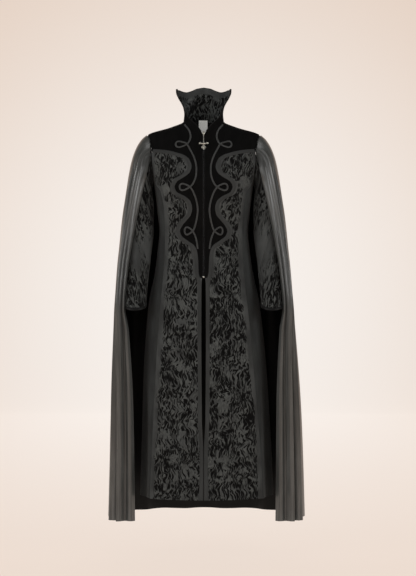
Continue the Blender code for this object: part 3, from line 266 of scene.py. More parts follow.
def linear(text):
    """sRGB hex to linear: c / 12.92 below 0.04045, else ((c + 0.055) / 1.055)^2.4."""
    share = np.array([int(text[k:k + 2], 16) / 255 for k in (1, 3, 5)])
    low, high = share / 12.92, ((share + 0.055) / 1.055) ** 2.4
    return (*np.where(share <= 0.04045, low, high).tolist(), 1.0)


def add(tree, kind, links=None, inputs=None, **settings):
    """Adds a node, sets its properties and unlinked inputs, and links its inputs from other sockets."""
    node = tree.nodes.new(kind)
    for name, value in settings.items():
        setattr(node, name, value)
    for name, value in (inputs or {}).items():
        node.inputs[name].default_value = value
    for name, source in (links or {}).items():
        tree.links.new(source, node.inputs[name])
    return node


def new_material(name, **sockets):
    """A material with one Principled shader whose constant values are set on its own sockets."""
    made = bpy.data.materials.new(name)
    made.use_nodes = True
    shader = made.node_tree.nodes["Principled BSDF"]
    for socket, value in sockets.items():
        shader.inputs[socket.replace("_", " ")].default_value = value
    return made, made.node_tree, shader


def math_node(tree, operation, first, second=None, third=None):
    """One arithmetic step; a number is set on the socket, and a socket is linked to it."""
    node = tree.nodes.new("ShaderNodeMath")
    node.operation = operation
    for index, value in enumerate((first, second, third)):
        if value is None:
            continue
        if isinstance(value, (int, float)):
            node.inputs[index].default_value = value
        else:
            tree.links.new(value, node.inputs[index])
    return node.outputs[0]


def ramp(tree, value, low, high, to_low=0.0, to_high=1.0):
    """A smooth rise of a value from one level to another."""
    node = add(tree, "ShaderNodeMapRange", {"Value": value},
               {"From Min": low, "From Max": high, "To Min": to_low, "To Max": to_high},
               interpolation_type="SMOOTHSTEP")
    return node.outputs["Result"]


def mix(tree, share, first, second):
    """A colour between two, each a hex text or a socket."""
    node = tree.nodes.new("ShaderNodeMix")
    node.data_type = "RGBA"
    for socket, value in ((node.inputs[0], share), (node.inputs[6], first), (node.inputs[7], second)):
        if isinstance(value, str):
            socket.default_value = linear(value)
        elif isinstance(value, (int, float)):
            socket.default_value = value
        else:
            tree.links.new(value, socket)
    return node.outputs[2]


def stretched(tree, source, across, down, turn=0.0, shift=(0.0, 0.0)):
    """Coordinates of a pattern whose cell is this many metres across and down, turned by some degrees."""
    node = add(tree, "ShaderNodeMapping", {"Vector": source})
    node.inputs["Location"].default_value = (shift[0], shift[1], 0.0)
    node.inputs["Rotation"].default_value = (0.0, 0.0, math.radians(turn))
    node.inputs["Scale"].default_value = (1 / across, 1 / down, 1.0)
    return node.outputs["Vector"]


def noise(tree, vector, scale=1.0, detail=3.0, roughness=0.55, distortion=0.0):
    """Cloudy noise with its mean near one half."""
    node = add(tree, "ShaderNodeTexNoise", {"Vector": vector},
               {"Scale": scale, "Detail": detail, "Roughness": roughness, "Distortion": distortion})
    return node.outputs["Fac"]


def bump(tree, height, distance, strength=1.0, normal=None):
    """Tilts the shading normal by a height given in metres."""
    links = {"Height": height} if normal is None else {"Height": height, "Normal": normal}
    return add(tree, "ShaderNodeBump", links, {"Distance": distance, "Strength": strength}).outputs["Normal"]


def cloth_uv(tree):
    """Metres across and down the cloth, from the piece's own UV map."""
    return add(tree, "ShaderNodeUVMap", uv_map="cloth").outputs["UV"]


# %% [markdown]
# ### Charcoal suiting
#
# The sides, the back and the plain strips are a worsted-like suiting, woven in a fine twill. Twill gives
# the eye faint diagonal lines and a matt surface, with a little soft sheen where it turns away. The
# threads are 0.4 mm apart on the real cloth, and they are drawn here 2 mm apart so that they don't
# shimmer.

# %% Suiting

TWILL_SPACING = 0.0020


def twill(tree, uv, spacing=TWILL_SPACING):
    """Diagonal ridges: sin of the sum of across and down over the spacing, made uneven by noise."""
    apart = add(tree, "ShaderNodeSeparateXYZ", {"Vector": stretched(tree, uv, spacing, spacing)})
    wander = noise(tree, stretched(tree, uv, 0.02, 0.05), detail=2.0)
    phase = math_node(tree, "ADD", apart.outputs[0], apart.outputs[1])
    phase = math_node(tree, "MULTIPLY_ADD", wander, 2.0, phase)
    return math_node(tree, "SINE", math_node(tree, "MULTIPLY", phase, math.pi))


def make_suiting(name, dark, light, roughness=0.85, sheen=0.05):
    """Twill cloth: two close colours in broad soft clouds, diagonal ribs in the bump."""
    made, tree, shader = new_material(name, Roughness=roughness, Sheen_Weight=sheen, Sheen_Roughness=0.5)
    shader.inputs["Specular IOR Level"].default_value = 0.25
    uv = cloth_uv(tree)
    cloud = noise(tree, stretched(tree, uv, 0.045, 0.14), detail=4.0)
    tree.links.new(mix(tree, ramp(tree, cloud, 0.35, 0.68), dark, light), shader.inputs["Base Color"])
    fluff = noise(tree, stretched(tree, uv, 0.0012, 0.0016))
    rib = math_node(tree, "MULTIPLY_ADD", twill(tree, uv), 0.5, fluff)
    tree.links.new(bump(tree, rib, 0.00012), shader.inputs["Normal"])
    return made


charcoal = make_suiting("worsted_charcoal", "#262828", "#333636")
band_cloth = make_suiting("plain_band_cloth", "#2e3030", "#3a3c3c", roughness=0.8)

# %% [markdown]
# ### Embossed leaf cloth
#
# The front panels, the sleeves and the collar's inside are charcoal cloth pressed with leafy, feathery
# swirls. The pressed parts lie flat and glossy, so they look black from one side and bright from the
# other; the ground stays matt. In the colour the pressed strokes are near black, and thin strokes beside
# them are painted light grey, a painted highlight for the bright glints. The pattern is a common one and
# is made here from scratch: short leaf strokes in three directions, each cut from stretched cells, bent by
# slow noise, and grouped in clumps. It thins out towards the seams. Where it is strong is stored on the
# shell as a number from 0 to 1, the attribute "figure".

# %% Leaf cloth

LEAF_LAYERS = (
    ("turn", "across", "down", "shift"),
    (38.0, 0.0072, 0.028, 0.0),
    (-44.0, 0.0062, 0.026, 3.7),
    (78.0, 0.0056, 0.024, 7.1),
    (5.0, 0.0046, 0.020, 11.3),
)
CLUMP = 0.048


def bent(tree, uv, size, amount):
    """The coordinates pushed about by slow noise, so that straight strokes curl."""
    push = add(tree, "ShaderNodeTexNoise", {"Vector": stretched(tree, uv, size, size)},
               {"Scale": 1.0, "Detail": 2.0, "Roughness": 0.5})
    centred = add(tree, "ShaderNodeVectorMath", {0: push.outputs["Color"]}, {1: (0.5, 0.5, 0.5)},
                  operation="SUBTRACT").outputs[0]
    grown = add(tree, "ShaderNodeVectorMath", {0: centred}, {"Scale": amount}, operation="SCALE").outputs[0]
    return add(tree, "ShaderNodeVectorMath", {0: uv, 1: grown}, operation="ADD").outputs[0]


def leaf_strokes(tree, uv, turn, across, down, shift):
    """Leaf strokes: 1 in the middle of each stretched cell, 0 at its edge, kept only in their clumps."""
    cell = add(tree, "ShaderNodeTexVoronoi",
               {"Vector": stretched(tree, uv, across, down, turn, (shift, shift))},
               {"Scale": 1.0, "Randomness": 1.0}, voronoi_dimensions="2D")
    leaf = ramp(tree, cell.outputs["Distance"], 0.50, 0.14)
    where = noise(tree, stretched(tree, uv, CLUMP, CLUMP, 0.0, (shift, -shift)), detail=2.0)
    return math_node(tree, "MULTIPLY", leaf, ramp(tree, where, 0.46, 0.55))


def make_leaf_cloth():
    """Matt ground with pressed glossy strokes and painted highlights; the strokes' colour, gloss and depth
    share one height.
    """
    made, tree, shader = new_material("embossed_leaf_cloth", Sheen_Weight=0.04, Sheen_Roughness=0.5)
    uv = cloth_uv(tree)
    curled = bent(tree, bent(tree, uv, 0.070, 0.060), 0.018, 0.014)
    total, glint = None, None
    for turn, across, down, shift in LEAF_LAYERS[1:]:
        strokes = leaf_strokes(tree, curled, turn, across, down, shift)
        total = strokes if total is None else math_node(tree, "MAXIMUM", total, strokes)
        edges = leaf_strokes(tree, curled, turn, across * 0.34, down * 0.7, shift + 1.9)
        glint = edges if glint is None else math_node(tree, "MAXIMUM", glint, edges)
    figure = add(tree, "ShaderNodeAttribute", attribute_name="figure").outputs["Fac"]
    clump = noise(tree, stretched(tree, uv, 0.085, 0.11, 0.0, (5.0, 2.0)), detail=3.0, roughness=0.6)
    place = ramp(tree, math_node(tree, "MULTIPLY_ADD", clump, 1.3, figure), 0.72, 1.12)
    pressed = math_node(tree, "MULTIPLY", total, place)
    # The thin strokes beside the pressed ones are a painted highlight: the colour turns light grey there.
    painted_glint = math_node(tree, "MULTIPLY", math_node(tree, "MULTIPLY", glint, place),
                    math_node(tree, "SUBTRACT", 1.0, total))
    crushed = noise(tree, stretched(tree, curled, 0.006, 0.006), detail=4.0, roughness=0.7)
    cloud = noise(tree, stretched(tree, uv, 0.05, 0.10), detail=4.0)
    ground = mix(tree, ramp(tree, cloud, 0.35, 0.68), "#2e3030", "#434646")
    ground = mix(tree, math_node(tree, "MULTIPLY", painted_glint, 0.7), ground, "#5c605e")
    shade = mix(tree, ramp(tree, pressed, 0.12, 0.68), ground, "#050505")
    tree.links.new(shade, shader.inputs["Base Color"])
    tree.links.new(ramp(tree, pressed, 0.1, 0.7, 0.75, 0.55), shader.inputs["Roughness"])
    tree.links.new(ramp(tree, pressed, 0.1, 0.5, 0.30, 0.06), shader.inputs["Specular IOR Level"])
    height = math_node(tree, "MULTIPLY_ADD", pressed, -1.0, math_node(tree, "MULTIPLY", painted_glint, 0.5))
    rough = bump(tree, math_node(tree, "MULTIPLY_ADD", twill(tree, uv), 0.5, crushed), 0.00012)
    tree.links.new(bump(tree, height, 0.0012, 1.0, rough), shader.inputs["Normal"])
    return made


leaf_cloth = make_leaf_cloth()

# %% [markdown]
# ### Velvet, satin, lining, braid and metal
#
# Velvet is a cut pile: its fibres stand up and swallow light, so its face is nearly black and only its
# edges catch a soft sheen. Satin is woven with long floats, which reflect in soft streaks down the cloth;
# those streaks are also painted into its colour as lighter lines, a painted sheen.
# The lining is a smooth black taffeta. The pendant is cast zinc with antique silver plate: bright on what
# rubs, dark in the hollows.

# %% Velvet
velvet, tree, shader = new_material("cotton_velvet", Roughness=0.95, Sheen_Weight=0.05, Sheen_Roughness=0.35)
shader.inputs["Specular IOR Level"].default_value = 0.10
shader.inputs["Sheen Tint"].default_value = linear("#8a8a90")
uv = cloth_uv(tree)
nap = noise(tree, stretched(tree, uv, 0.030, 0.050), detail=4.0)
tree.links.new(mix(tree, ramp(tree, nap, 0.35, 0.7), "#070707", "#0c0c0c"), shader.inputs["Base Color"])
pile = noise(tree, stretched(tree, uv, 0.0011, 0.0011), detail=2.0)
tree.links.new(bump(tree, pile, 0.00020), shader.inputs["Normal"])

# %% Satin
satin, tree, shader = new_material("charcoal_satin", Metallic=0.0, Anisotropic=0.4)
shader.inputs["Specular IOR Level"].default_value = 0.85
uv = cloth_uv(tree)
# The lighter streaks down the cloth are a painted sheen of the satin floats; the broad clouds are random
# tone.
sheen_streak = noise(tree, stretched(tree, uv, 0.006, 0.30), detail=3.0)
cloud = noise(tree, stretched(tree, uv, 0.05, 0.25), detail=3.0)
both = math_node(tree, "MULTIPLY_ADD", sheen_streak, 0.5, math_node(tree, "MULTIPLY", cloud, 0.5))
tree.links.new(mix(tree, ramp(tree, both, 0.38, 0.64), "#303231", "#525453"), shader.inputs["Base Color"])
tree.links.new(ramp(tree, both, 0.35, 0.65, 0.34, 0.26), shader.inputs["Roughness"])
thread = noise(tree, stretched(tree, uv, 0.0009, 0.02), detail=2.0)
tree.links.new(bump(tree, thread, 0.00006), shader.inputs["Normal"])

# %% Lining and binding
lining, tree, shader = new_material("black_taffeta", Roughness=0.55, Sheen_Weight=0.05)
shader.inputs["Specular IOR Level"].default_value = 0.2
uv = cloth_uv(tree)
# Long soft clouds of lighter and darker black are painted shade of soft folds in the taffeta.
fold_shade = noise(tree, stretched(tree, uv, 0.03, 0.12), detail=3.0)
tree.links.new(mix(tree, ramp(tree, fold_shade, 0.35, 0.7), "#030304", "#090a0a"), shader.inputs["Base Color"])
tree.links.new(bump(tree, noise(tree, stretched(tree, uv, 0.0010, 0.0014)), 0.00008), shader.inputs["Normal"])

# %% Braid
braid_cord, tree, shader = new_material("rayon_soutache", Roughness=0.62, Sheen_Weight=0.1)
uv = cloth_uv(tree)
apart = add(tree, "ShaderNodeSeparateXYZ", {"Vector": stretched(tree, uv, 0.0056, 0.0022)})
off_middle = math_node(tree, "ABSOLUTE", math_node(tree, "SUBTRACT", apart.outputs[0], 0.5))
slant = math_node(tree, "MULTIPLY_ADD", off_middle, 2.0, apart.outputs[1])
plait = math_node(tree, "SINE", math_node(tree, "MULTIPLY", slant, math.pi))
# The colour follows the plait's height: painted shade in its grooves and a painted highlight on its crests.
tree.links.new(mix(tree, ramp(tree, plait, -1.0, 1.0), "#303232", "#3e4141"), shader.inputs["Base Color"])
tree.links.new(bump(tree, plait, 0.00015), shader.inputs["Normal"])

# %% Metal, zip and label
silver, tree, shader = new_material("antique_silver_plate", Metallic=1.0)
place = add(tree, "ShaderNodeTexCoord").outputs["Object"]
fine = add(tree, "ShaderNodeMapping", {"Vector": place}, {"Scale": (900.0, 900.0, 900.0)})
tarnish = noise(tree, fine.outputs[0])
tree.links.new(mix(tree, ramp(tree, tarnish, 0.30, 0.60), "#8d8b82", "#e6e4da"), shader.inputs["Base Color"])
tree.links.new(ramp(tree, tarnish, 0.3, 0.7, 0.42, 0.22), shader.inputs["Roughness"])
tree.links.new(bump(tree, tarnish, 0.00015), shader.inputs["Normal"])

black_teeth, tree, shader = new_material("black_nickel_teeth", Metallic=1.0)
place = add(tree, "ShaderNodeTexCoord").outputs["Object"]
fine = add(tree, "ShaderNodeMapping", {"Vector": place}, {"Scale": (500.0, 500.0, 500.0)})
wear = noise(tree, fine.outputs[0])
tree.links.new(mix(tree, ramp(tree, wear, 0.40, 0.70), "#1c1d1e", "#55575a"), shader.inputs["Base Color"])
tree.links.new(ramp(tree, wear, 0.3, 0.7, 0.30, 0.20), shader.inputs["Roughness"])

label_cloth, tree, shader = new_material("white_woven_label", Roughness=0.6, Sheen_Weight=0.1)
uv = cloth_uv(tree)
weave = noise(tree, stretched(tree, uv, 0.004, 0.0015), detail=2.0)
tree.links.new(mix(tree, ramp(tree, weave, 0.3, 0.7), "#d2d2ce", "#f2f2ee"), shader.inputs["Base Color"])
# The faint glow is painted light; it keeps the white label bright inside the shaded neck.
shader.inputs["Emission Color"].default_value = linear("#f2f2ee")
shader.inputs["Emission Strength"].default_value = 0.16
tree.links.new(bump(tree, weave, 0.00015), shader.inputs["Normal"])

print("materials:", sorted(m.name for m in bpy.data.materials))

# %% [markdown]
# ## Making a cloth shell
#
# Each cloth piece starts as a grid of points on its outer face. The same grid moved in by the thickness
# gives its inner face, and strips round the edges close the two, so the shell is one closed body of real
# cloth thickness. The UV map holds the running distance across and down the grid.

# %% Shells from grids

SHELL = 0.0012


def put_mesh(name, points, faces, uvs, materials, slots=None, fields=None):
    """A smooth mesh object from arrays of points, quads and one UV pair for each corner."""
    mesh = bpy.data.meshes.new(name)
    mesh.vertices.add(len(points))
    mesh.vertices.foreach_set("co", np.asarray(points, np.float32).ravel())
    mesh.loops.add(faces.size)
    mesh.loops.foreach_set("vertex_index", faces.astype(np.int32).ravel())
    mesh.polygons.add(len(faces))
    mesh.polygons.foreach_set("loop_start", np.arange(0, faces.size, 4, dtype=np.int32))
    mesh.update(calc_edges=True)
    layer = mesh.uv_layers.new(name="cloth")
    layer.data.foreach_set("uv", np.asarray(uvs, np.float32).ravel())
    for material in materials:
        mesh.materials.append(material)
    if slots is not None:
        mesh.polygons.foreach_set("material_index", np.asarray(slots, np.int32))
    for key, values in (fields or {}).items():
        mesh.attributes.new(key, "FLOAT", "POINT").data.foreach_set("value", np.asarray(values, np.float32))
    mesh.shade_smooth()
    mesh.set_sharp_from_angle(angle=math.radians(50))
    made = bpy.data.objects.new(name, mesh)
    bpy.context.scene.collection.objects.link(made)
    return made


def volume(points, faces):
    """Signed volume of a closed mesh of quads: a sixth of the sum of corner triple products."""
    a, b, c, d = [points[faces[:, k]] for k in range(4)]
    return float(np.sum(np.cross(a, b) * c) + np.sum(np.cross(a, c) * d)) / 6


def closed_shell(name, outer, inner, materials, wrap=False, figure=None, uv=None):
    """A closed body: outer grid, inner grid behind it, and strips round the open edges."""
    rows, columns = outer.shape[:2]
    count = rows * columns
    last = columns if wrap else columns - 1
    r, c = [part.ravel() for part in np.meshgrid(np.arange(rows - 1), np.arange(last), indexing="ij")]
    n = (c + 1) % columns
    face = np.stack([r * columns + c, r * columns + n, (r + 1) * columns + n, (r + 1) * columns + c], axis=1)
    if uv is None:
        closed = np.concatenate([outer, outer[:, :1]], axis=1) if wrap else outer
        uv = np.stack([lengths(closed, 1), lengths(closed, 0)], axis=-1)
    corner = np.stack([uv[r, c], uv[r, c + 1], uv[r + 1, c + 1], uv[r + 1, c]], axis=1)
    faces, corners, slots = [face, face[:, ::-1] + count], [corner, corner[:, ::-1]], [0, len(materials) - 1]
    for row, turned in ((0, -1), (rows - 1, 1)):
        c = np.arange(last)
        a, b = row * columns + c, row * columns + (c + 1) % columns
        faces.append(np.stack([a, b, b + count, a + count], axis=1)[:, ::turned])
        strip = np.stack([uv[row, c], uv[row, c + 1], uv[row, c + 1], uv[row, c]], axis=1)
        corners.append(strip[:, ::turned])
        slots.append(0)
    for column, turned in () if wrap else ((0, 1), (columns - 1, -1)):
        r = np.arange(rows - 1)
        a, b = r * columns + column, (r + 1) * columns + column
        faces.append(np.stack([a, b, b + count, a + count], axis=1)[:, ::turned])
        rim = [uv[r, column], uv[r + 1, column], uv[r + 1, column], uv[r, column]]
        corners.append(np.stack(rim, axis=1)[:, ::turned])
        slots.append(0)
    points = np.concatenate([outer.reshape(-1, 3), inner.reshape(-1, 3)])
    face_slots = np.concatenate([np.full(len(part), slot) for part, slot in zip(faces, slots)])
    faces, corners = np.concatenate(faces), np.concatenate(corners)
    if volume(points, faces) < 0:
        faces, corners = faces[:, ::-1], corners[:, ::-1]
    grown = np.zeros(count) if figure is None else np.broadcast_to(figure, (rows, columns)).ravel()
    return put_mesh(name, points, faces, corners, materials, face_slots, {"figure": np.tile(grown, 2)})


def shell(name, outer, normals, materials, thickness=SHELL, **kept):
    """A closed shell whose inner grid lies one thickness inside the outer one."""
    return closed_shell(name, outer, outer - normals * thickness, materials, **kept)


def settle(piece, slot, *nodes, body_name="garment"):
    """The piece rides on its body and stands for its CAD nodes, which it hides; the slot is not used."""
    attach(piece, body_name)
    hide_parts(*nodes)
    return piece


def cut(piece, grid, wrap=False):
    closed = np.concatenate([grid, grid[:, :1]], axis=1) if wrap else grid
    width, length = float(lengths(closed, 1)[:, -1].max()), float(lengths(closed, 0)[-1].max())


def ruled(first, last, shares):
    """Points on the straight lines between partner points of two edges, at the given shares."""
    share = np.asarray(shares)[None, :, None]
    return first[:, None, :] * (1 - share) + last[:, None, :] * share


def panel_shares(count, near=(0.006, 0.014, 0.026)):
    """Shares from 0 to 1, even in the middle and closer beside both edges, where the seams dip."""
    near = np.array(near)
    return np.concatenate([[0], near, np.linspace(near[-1], 1 - near[-1], count)[1:-1], 1 - near[::-1], [1]])


SEAM_DIP, SEAM_REACH = 0.0012, 0.0018


def body_panel(name, cells, side, materials, slot, sewn=(True, True), figure=None):
    """A panel of the coat; beside a sewn edge it dips by depth * exp(-(distance / reach)^2)."""
    angle, level = cells[..., 0], cells[..., 1]
    flat = body(angle, level, side)
    run = lengths(flat, 1)
    dip = sum(np.exp(-(away / SEAM_REACH) ** 2) for away, on in zip((run, run[:, -1:] - run), sewn) if on)
    normals = body_normal(angle, level, side)
    grid = flat - normals * (SEAM_DIP * np.asarray(dip))[..., None]
    piece = shell(name, grid, normals, materials, figure=figure, uv=body_uv(angle, level, side))
    settle(piece, slot, name.removeprefix("cloth_"))
    cut(piece, grid)
    return grid, normals

# %% [markdown]
# ## The front
#
# The velvet yoke runs from the shoulder down the zip, and its outer edge swings in and out three times.
# The leafy front panel meets it along that wavy seam, and a plain side piece meets the panel at the
# princess seam. Each piece is given by two edges, measured in front view and turned to angles, with
# straight lines ruled between them; the body's form then bends them round.

# %% Front edges
WAVE = (
    ("level", "across"),
    (-0.0942, 0.1780), (-0.1021, 0.1192), (-0.1087, 0.0939), (-0.1190, 0.0650), (-0.1330, 0.0478),
    (-0.1580, 0.0396), (-0.1770, 0.0455), (-0.1930, 0.0640), (-0.2080, 0.0875), (-0.2250, 0.0953),
    (-0.2410, 0.0888), (-0.2580, 0.0592), (-0.2740, 0.0430), (-0.2960, 0.0377), (-0.3170, 0.0421),
    (-0.3370, 0.0575), (-0.3535, 0.0710), (-0.3710, 0.0780), (-0.3866, 0.0726), (-0.4030, 0.0525),
    (-0.4180, 0.0318), (-0.4350, 0.0225), (-0.4625, 0.0182), (-0.5206, 0.0162),
)
FRONT_EDGE = (
    ("level", "across"),
    (-0.043, 0.0050), (-0.5206, 0.0050), (-0.545, 0.0068), (-0.700, 0.0075), (-1.000, 0.0055),
    (-1.100, 0.0012), (-1.256, 0.0012),
)
PRINCESS = (
    ("level", "across"),
    (-0.190, 0.1640), (-0.240, 0.1440), (-0.310, 0.1320), (-0.380, 0.1290), (-0.500, 0.1340),
    (-0.700, 0.1520), (-1.000, 0.1710), (-1.256, 0.1830),
)
BAND_WIDTH, BAND_HEIGHT = 0.0120, 0.0012
SEAM_ROWS, SKIRT_ROWS = 150, 130
EDGE_X = FRONT_EDGE[1][1]


def wave_line(offset):
    """The wavy edge in front view: its points moved by an offset along the turned direction of the line."""
    level = np.linspace(WAVE[1][0], WAVE[-1][0], 700)
    points = np.stack([read(WAVE, "across", level), level], axis=1)
    ahead = unit(np.gradient(points, axis=0))
    return points + offset * np.stack([-ahead[:, 1], ahead[:, 0]], axis=1)


def edge_points(across, level):
    """An edge given in front view, as angle and level."""
    return np.stack([angle_across(across, level), level], axis=1)


def wave_seam():
    """The seam under the middle of the band, evenly spaced, as angles and levels."""
    seam = resample(wave_line(BAND_WIDTH / 2), SEAM_ROWS)
    seam[-1, 1] = ZIP_FOOT
    return edge_points(seam[:, 0], seam[:, 1])


def neck_edge(count):
    """The front neckline: level = neck * (1 - (x / half width)^2), from the shoulder seam to the zip."""
    across = NECK_HALF_WIDTH + (EDGE_X - NECK_HALF_WIDTH) * np.linspace(0, 1, count) ** 1.5
    return np.stack([across, FRONT_NECK * (1 - (across / NECK_HALF_WIDTH) ** 2)], axis=1)


def yoke_rows():
    """The velvet's two edges, row by row: neckline then front edge, and armhole then wavy seam."""
    hole_level = np.linspace(SHOULDER_END, WAVE[1][0] - 0.003, 14)[:-1]
    outer = np.vstack([np.stack([armhole(hole_level), hole_level], axis=1), wave_seam()])
    free = int(np.argmax(outer[:, 1] < -0.160))
    round_neck = int(0.47 * free)
    edge_level = np.linspace(FRONT_NECK - 0.0045, outer[free, 1], 60)
    edge = np.stack([np.full(60, EDGE_X), edge_level], axis=1)
    top = np.vstack([resample(neck_edge(60), round_neck), resample(edge, free + 1 - round_neck)])
    level = outer[free + 1:, 1]
    inner = np.vstack([top, np.stack([read(FRONT_EDGE, "across", level), level], axis=1)])
    return edge_points(inner[:, 0], inner[:, 1]), outer


def panel_rows():
    """The leafy front's two edges: wavy seam then front edge, and armhole then princess seam."""
    skirt_level = np.linspace(ZIP_FOOT - 0.007, HEM, SKIRT_ROWS)
    first = np.vstack([wave_seam(), edge_points(read(FRONT_EDGE, "across", skirt_level), skirt_level)])
    keys = -np.array((first[0, 1], -0.1700, -0.2400, -0.3000, HEM))
    values = -np.array((WAVE[1][0] - 0.010, PRINCESS_START, -0.2500, -0.3000, HEM))
    level = -np.interp(-first[:, 1], keys, values)
    start = int(np.argmin(np.abs(level - PRINCESS_START)))
    level[start] = PRINCESS_START
    princess = angle_across(read(PRINCESS, "across", level), level)
    blend = step((PRINCESS_START - level) / 0.05)
    princess = armhole(np.maximum(level, UNDERARM + 0.012)) * (1 - blend) + princess * blend
    return first, np.stack([princess, level], axis=1), start


# Where the leaves stand thick on the front, seen from the front: side, distance from the middle, level, reach
LEAF_SPOTS = (
    ("side", "across", "level", "reach", "strength"),
    (-1, 0.071, -0.150, 0.022, 0.60), (-1, 0.085, -0.310, 0.045, 0.30), (-1, 0.060, -0.470, 0.040, 0.40),
    (1, 0.085, -0.285, 0.035, 0.55), (1, 0.075, -0.555, 0.040, 0.50), (1, 0.125, -0.990, 0.120, 0.55),
    (-1, 0.090, -0.640, 0.060, 0.35), (-1, 0.070, -0.900, 0.080, 0.35), (-1, 0.110, -1.120, 0.070, 0.35),
    (1, 0.060, -0.800, 0.060, 0.30), (1, 0.090, -0.160, 0.035, 0.35), (-1, 0.105, -0.210, 0.030, 0.30),
)


def front_figure(cells, side):
    """0 near both seams, 0.55 inside, and up to 1 where a spot adds strength * exp(-(distance / reach)^2)."""
    points = body_form(cells[..., 0], cells[..., 1], side)
    run = lengths(points, 1)
    inside = step((run - 0.009) / 0.008) * step((run[:, -1:] - run - 0.006) / 0.026)
    out = np.full(cells.shape[:2], 0.55)
    for spot_side, across, level, reach, strength in LEAF_SPOTS[1:]:
        if spot_side == side:
            away = np.hypot(np.abs(points[..., 0]) - across, points[..., 2] - level)
            out = out + strength * np.exp(-(away / reach) ** 2)
    return np.clip(out, 0, 1) * inside


# %% Make the fronts
for label, side in SIDES:
    inner, outer = yoke_rows()
    body_panel(f"cloth_front_yoke_{label}", ruled(inner, outer, panel_shares(22)), side, [velvet, lining],
               "velvet", sewn=(False, True))
    first, last, start = panel_rows()
    cells = ruled(first, last, panel_shares(34))
    body_panel(f"cloth_front_panel_{label}", cells, side, [leaf_cloth, lining], "patterned_cloth",
               figure=front_figure(cells, side))
    princess = last[start:]
    level = -np.interp(-princess[:, 1], (-PRINCESS_START, 0.30, -HEM), (-UNDERARM, 0.305, -HEM))
    seam = np.stack([np.full(len(level), math.pi / 2), level], axis=1)
    body_panel(f"cloth_side_front_{label}", ruled(princess, seam, panel_shares(14)), side, [charcoal, lining],
               "plain_cloth")

# %% [markdown]
# ## The back
#
# The back repeats the front's plain cloth, with a seam down the middle and a velvet yoke across the
# shoulders. The black lining is made only where it shows: inside the neck, through the front slit and
# under the front hem.

# %% Back edges and panels


def both_halves(cells, depth=0.0):
    """Points and normals of a piece in one across the centre back, from the cells of one half."""
    halves = []
    for side in (-1, 1):
        normals = body_normal(cells[..., 0], cells[..., 1], side)
        halves.append((body(cells[..., 0], cells[..., 1], side) - normals * depth, normals))
    return [np.concatenate([halves[0][k], halves[1][k][:, -2::-1]], axis=1) for k in (0, 1)]


def back_level():
    """Rows of the back panels: close beside the armhole, then even down to the hem."""
    return np.concatenate([np.linspace(BACK_YOKE_SEAM, UNDERARM, 31)[:-1], np.linspace(UNDERARM, HEM, 180)])


for label, side in SIDES:
    level = back_level()
    hole = armhole(np.maximum(level, UNDERARM + 0.0005), back=True)
    first = np.stack([np.where(level > UNDERARM + 1e-6, hole, math.pi / 2), level], axis=1)
    drop = BACK_HEM_DROP * step((UNDERARM - level) / (UNDERARM - HEM))
    last = np.stack([np.full(len(level), math.pi), level - drop], axis=1)
    body_panel(f"cloth_back_panel_{label}", ruled(first, last, panel_shares(40)), side, [charcoal, lining],
               "plain_cloth")

# %% Back yoke
# A Coons patch: the straight blend of the top and bottom edges, plus the armhole's bow fading to the middle.
RIGHT_ANGLE = math.pi / 2
shoulder = np.stack([np.full(24, RIGHT_ANGLE), np.linspace(SHOULDER_END, 0, 24)], axis=1)
neck_angle = np.linspace(RIGHT_ANGLE, math.pi, 30)[1:]
top = np.vstack([shoulder, np.stack([neck_angle, BACK_NECK * (neck_angle / RIGHT_ANGLE - 1)], axis=1)])
hole_level = np.linspace(SHOULDER_END, BACK_YOKE_SEAM, 36)
hole = np.stack([armhole(hole_level, back=True), hole_level], axis=1)
along = np.linspace(0, 1, len(top))
bottom = np.stack([hole[-1, 0] + (math.pi - hole[-1, 0]) * along, np.full(len(top), BACK_YOKE_SEAM)], axis=1)
down = np.linspace(0, 1, len(hole))[:, None, None]
bow = hole - (hole[0] * (1 - down[:, 0]) + hole[-1] * down[:, 0])
cells = top * (1 - down) + bottom * down + bow[:, None] * (1 - along)[None, :, None]
grid, normals = both_halves(cells)
back_yoke = settle(shell("cloth_back_yoke", grid, normals, [velvet, lining]), "velvet", "back_yoke")
cut(back_yoke, grid)

# %% Back lining
LINING_DEPTH, LINING_YOKE_DEPTH = 0.0038, 0.0026
level = np.linspace(-0.006, HEM + 0.004, 150)
beside_hole = armhole(np.clip(level, -0.170, -0.090), back=True) + 0.16
edge = beside_hole + (math.pi * 7 / 12 - beside_hole) * step((UNDERARM - level) / 0.03)
edge = edge + (math.pi * 0.62 - edge) * np.clip((level + 0.047) / 0.039, 0, 1)
cells = ruled(np.stack([edge, level], axis=1), np.stack([np.full(150, math.pi), level], axis=1),
              np.linspace(0, 1, 30))
lining_depth = LINING_DEPTH + LINING_YOKE_DEPTH * step((level + 0.27) / 0.06)
grid, normals = both_halves(cells, lining_depth[:, None, None])
back_lining = shell("cloth_back_lining", grid, normals, [lining], thickness=0.0008)
cut(settle(back_lining, "lining", "back_lining"), grid)

# %% Neck label
# The woven label is left bare. It hangs from the neck seam, almost straight down inside the collar.
LABEL_WIDTH, LABEL_HEIGHT, LABEL_MIDDLE, LABEL_TOP = 0.0295, 0.044, -0.002, 0.0095
LABEL_BACK, LABEL_CURVE, LABEL_LEAN = 0.0501, 0.085, 0.04
across = LABEL_MIDDLE + np.linspace(-LABEL_WIDTH / 2, LABEL_WIDTH / 2, 30)
down = np.linspace(LABEL_TOP, LABEL_TOP - LABEL_HEIGHT, 40)
grid_level, grid_across = np.meshgrid(down, across, indexing="ij")
back = LABEL_BACK - grid_across ** 2 / (2 * LABEL_CURVE) + LABEL_LEAN * (LABEL_TOP - grid_level)
grid = np.stack([grid_across, back, grid_level], axis=-1)
normals = unit(np.stack([grid_across / LABEL_CURVE, 1 + 0 * back, 0 * back], axis=-1))
neck_label = shell("cloth_neck_label", grid, normals, [label_cloth], thickness=0.0005)
